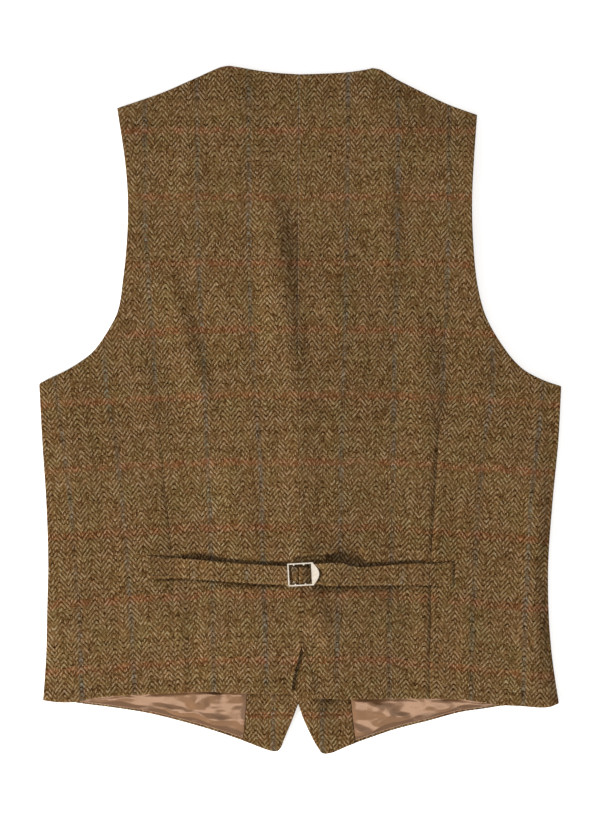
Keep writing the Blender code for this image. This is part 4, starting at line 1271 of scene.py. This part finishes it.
# %% The tweed
WARP_WOOL, WEFT_WOOL = shade(120, 97, 68), shade(83, 57, 28)
BLUE_WOOL, RUST_WEFT, RUST_WARP = shade(82, 83, 78), shade(100, 50, 26), shade(134, 93, 66)
WARP_HEATHER, WEFT_HEATHER, WEFT_SHIFT, STRIPE_IN_WEFT = 0.7, 0.5, 20.0, 0.3
WANDER = ((2.2, 0.0, 0.035), (3.0, 50.0, 0.03))      # how far the threads stray, and its noise's shift, scale
WORN_STRIPE = (8.0, 0.09, 2.0, 0.3, 0.7, 0.1, 0.6)   # patches in which a stripe or a bar is fainter
WORN_BAR = (90.0, 0.12, 3.0, 0.35, 0.65, 0.12, 0.58)
FUZZ, FUZZ_HIGH, THREAD_HIGH = (1.4, 3.0, 0.6), 0.4, 0.8
PILE = 0.00026                                       # metres that a height of 1 stands up

def make_tweed():
    material, tree, shader = new_material("tweed", Roughness=0.92, Sheen_Weight=0.06, Sheen_Roughness=0.45,
                                          Specular_IOR_Level=0.1)
    across, along = on_bolt(tree)
    place = vector(across, along)
    across, along = [way + (noise(shifted(place, shift), scale) - 0.5) * far
                     for way, (far, shift, scale) in zip((across, along), WANDER)]
    weave = use_group(tree, "Herringbone", Across=across, Along=along)
    check = use_group(tree, "Overcheck", Across=across, Along=along)
    stripe, bar = check["Stripe"] * patch(place, *WORN_STRIPE), check["Bar"] * patch(place, *WORN_BAR)
    warp = blend(bar, blend(stripe, WARP_WOOL, BLUE_WOOL), RUST_WARP)
    weft = blend(bar, blend(stripe * STRIPE_IN_WEFT, WEFT_WOOL, BLUE_WOOL), RUST_WEFT)

    def dyed(colour, spot, amount):
        """The colour of a thread, with its heather."""
        given = {"Colour": colour, "Place": spot, "Thread": weave["Thread"], "Amount": amount}
        return use_group(tree, "Heather", **given)["Colour"]

    weft, warp = dyed(weft, shifted(place, WEFT_SHIFT), WEFT_HEATHER), dyed(warp, place, WARP_HEATHER)
    feed(shader.inputs["Base Color"], blend(weave["Warp on top"], weft, warp))
    height = weave["Height"] * THREAD_HIGH + noise(place, *FUZZ) * FUZZ_HIGH
    feed(shader.inputs["Normal"], bump(height, PILE))
    return material

tweed = make_tweed()

# %% [markdown]
# ## Satin
#
# The lining is a filament satin: long floats of smooth yarn that mirror light like a soft metal foil. Its
# colour is quiet, and its shine does most of the work. Where the cloth is level it mirrors the window above,
# and where a fold tips away it mirrors the dimmer sky, which makes light and dark patches with soft edges.
# The folds of the net give the large ones and a bump the small ones. Some light is also painted into its
# colour: single threads get a painted glint, a lighter colour, and the folded hem gets painted shade, a
# darker colour, for the less light that it mirrors. A fine ribbed bump stands for the floats, which are too
# thin to show one by one.

# %% Creases of thin cloth
CREASE_SIZE, CREASE_BEND = 26.0, 16.0        # millimetres
CREASE_DEPTH = 0.0042                        # metres

def crumple():
    """Soft lumps and hollows of thin cloth: a smooth noise, read at places that a second noise bends."""
    tree, given, leave = new_group("Crumple", {"Place": None, "Size": CREASE_SIZE}, {"Height": "Float"})
    place, scale = given["Place"], given["Size"].math("POWER", -1.0)
    bend = noise(place, scale * 2.0, 0.0, output="Color")
    bent = flow(tree, "VectorMath", (bend, (CREASE_BEND, CREASE_BEND, 0.0), place), operation="MULTIPLY_ADD")
    feed(leave["Height"], noise(bent, scale, 0.0).step(0.2, 0.8))

crumple()

# %% The satin
# the satin's own colour, then two painted ones: a painted glint for single threads and painted shade for the
# folded hem
SATIN_TAN, SATIN_PAINTED_GLINT, SATIN_HEM_SHADE = shade(124, 90, 62), shade(143, 107, 81), shade(90, 62, 40)
YARN_PITCH, PICK_IN_SATIN, NO_TURN, FLOAT_HIGH = 0.16, 0.28, 4000.0, 0.00001
STRETCHED = (0.7, 1.35)                  # creases are longer across the lining than up it
# painted shade: the folded hem gets a darker colour for the less light that it mirrors, over this span of the
# edge map
HEM_SHADE_SPAN = (0.85, 1.1, 0.9, 0.0)         # from where to where along the edge map, and the values there
HEM_CALM = (0.9, 2.2, 0.35, 1.0)         # creases are shallower in the folded hem
# the first value is the share of painted glint that single threads get
PAINTED_GLINT, GLOSS = 0.2, (0.2, 0.8, 0.16, 0.24)

def make_satin():
    material, tree, shader = new_material("satin", Specular_IOR_Level=1.0, IOR=2.0,
                                          Specular_Tint=(1.0, 0.68, 0.5, 1), Anisotropic=0.3)
    across, along = on_bolt(tree)
    place = vector(across * STRETCHED[0], along * STRETCHED[1])
    weave = use_group(tree, "Herringbone", Across=across, Along=along, End_pitch=YARN_PITCH,
                      Pick_pitch=PICK_IN_SATIN, Ends_in_an_arm=NO_TURN)
    from_hem = values_of(flow(tree, "UVMap", uv_map="edge"), 1)[0]
    # painted glint: single threads get up to this share of a lighter colour
    woven = blend(weave["Thread"] * PAINTED_GLINT, SATIN_TAN, SATIN_PAINTED_GLINT)
    # the painted shade of the folded hem, over the threads with their painted glint
    feed(shader.inputs["Base Color"], blend(from_hem.step(*HEM_SHADE_SPAN), woven, SATIN_HEM_SHADE))
    feed(shader.inputs["Roughness"], noise(place, 0.1).step(*GLOSS))
    creases = use_group(tree, "Crumple", Place=place)["Height"] * from_hem.step(*HEM_CALM)
    feed(shader.inputs["Normal"], bump(creases, CREASE_DEPTH, Normal=bump(weave["Height"], FLOAT_HIGH)))
    return material

satin = make_satin()

# %% [markdown]
# ## Metal, horn and thread
#
# The buckle is polished nickel that has been handled: pale and bright, with fine scratches and a little
# dulling. The buttons are buffalo horn, dark brown with streaks that run through each button in its own
# direction. The thread is a plain brown twist.

# %% Metal, horn and thread
NICKEL, DULL_NICKEL = shade(240, 229, 213), shade(228, 216, 198)
DARK_HORN, PALE_HORN = shade(44, 28, 18), shade(104, 70, 42)
DARK_TWIST, PALE_TWIST, TWISTS = shade(84, 62, 38), shade(120, 92, 58), 9.0

def make_metal():
    material, tree, shader = new_material("nickel", Metallic=1.0, IOR=1.6)
    x, y, z = on_object(tree)
    scratches = noise(vector(x * 0.5, y * 9.0, z), 1.0, 3.0, 0.6)
    dull = noise(vector(x, y, z), 0.25, 3.0)
    feed(shader.inputs["Base Color"], blend(dull.step(0.35, 0.7), NICKEL, DULL_NICKEL))
    feed(shader.inputs["Roughness"], scratches.step(0.2, 0.8, 0.3, 0.46))
    feed(shader.inputs["Normal"], bump(scratches + dull, 0.00004))
    return material

def make_horn():
    material, tree, shader = new_material("horn", IOR=1.54, Coat_Weight=0.3, Coat_Roughness=0.15)
    x, y, z = on_object(tree)
    streak = noise(shifted(vector(x * 0.12, y * 0.8, z * 0.4), 3.0), 1.0, 4.0, 0.6)
    feed(shader.inputs["Base Color"], blend(streak.step(0.4, 0.62), DARK_HORN, PALE_HORN))
    feed(shader.inputs["Roughness"], streak.step(0.3, 0.7, 0.28, 0.42))
    feed(shader.inputs["Normal"], bump(streak, 0.00003))
    return material

def make_thread():
    material, tree, shader = new_material("thread", Sheen_Weight=0.2, Specular_IOR_Level=0.3)
    x, y, _ = on_object(tree)
    twist = (x + y).math("MULTIPLY", TWISTS).math("SINE") * 0.5 + 0.5
    feed(shader.inputs["Base Color"], blend(twist, DARK_TWIST, PALE_TWIST))
    feed(shader.inputs["Roughness"], twist.step(0.0, 1.0, 0.6, 0.8))
    feed(shader.inputs["Normal"], bump(twist, 0.00006))
    return material

nickel, horn, thread = make_metal(), make_horn(), make_thread()

# %% [markdown]
# ## Everything in its place
#
# Each piece gets its material and rides on the waistcoat's one body, and the solid that it stands for is
# hidden.

# %% Materials, bodies and the solids that are replaced
cloth = {"back": backs, "front": fronts, "facing": facings, "lining": linings, "strap": straps}
rows = []
for stem, pieces in cloth.items():
    material, slot = (satin, "satin") if stem == "lining" else (tweed, "tweed")
    rows += [(pieces[side], material, slot, f"{stem}_{side}") for side in SIDES]
rows += [(piece, horn, "horn", f"button_{k + 1}") for k, piece in enumerate(buttons)]
rows += [(buckle_piece, nickel, "buckle_metal", "buckle")]
rows += [(piece, thread, "tweed", None) for piece in (*strap_stitches.values(), threads, holes)]
for piece, material, slot, solid in rows:
    piece.data.materials.append(material)
    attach(piece, "root")
    if solid:
        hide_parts(solid)
print(len(rows), "pieces, of which", sum(1 for row in rows if row[3]), "stand for a solid")
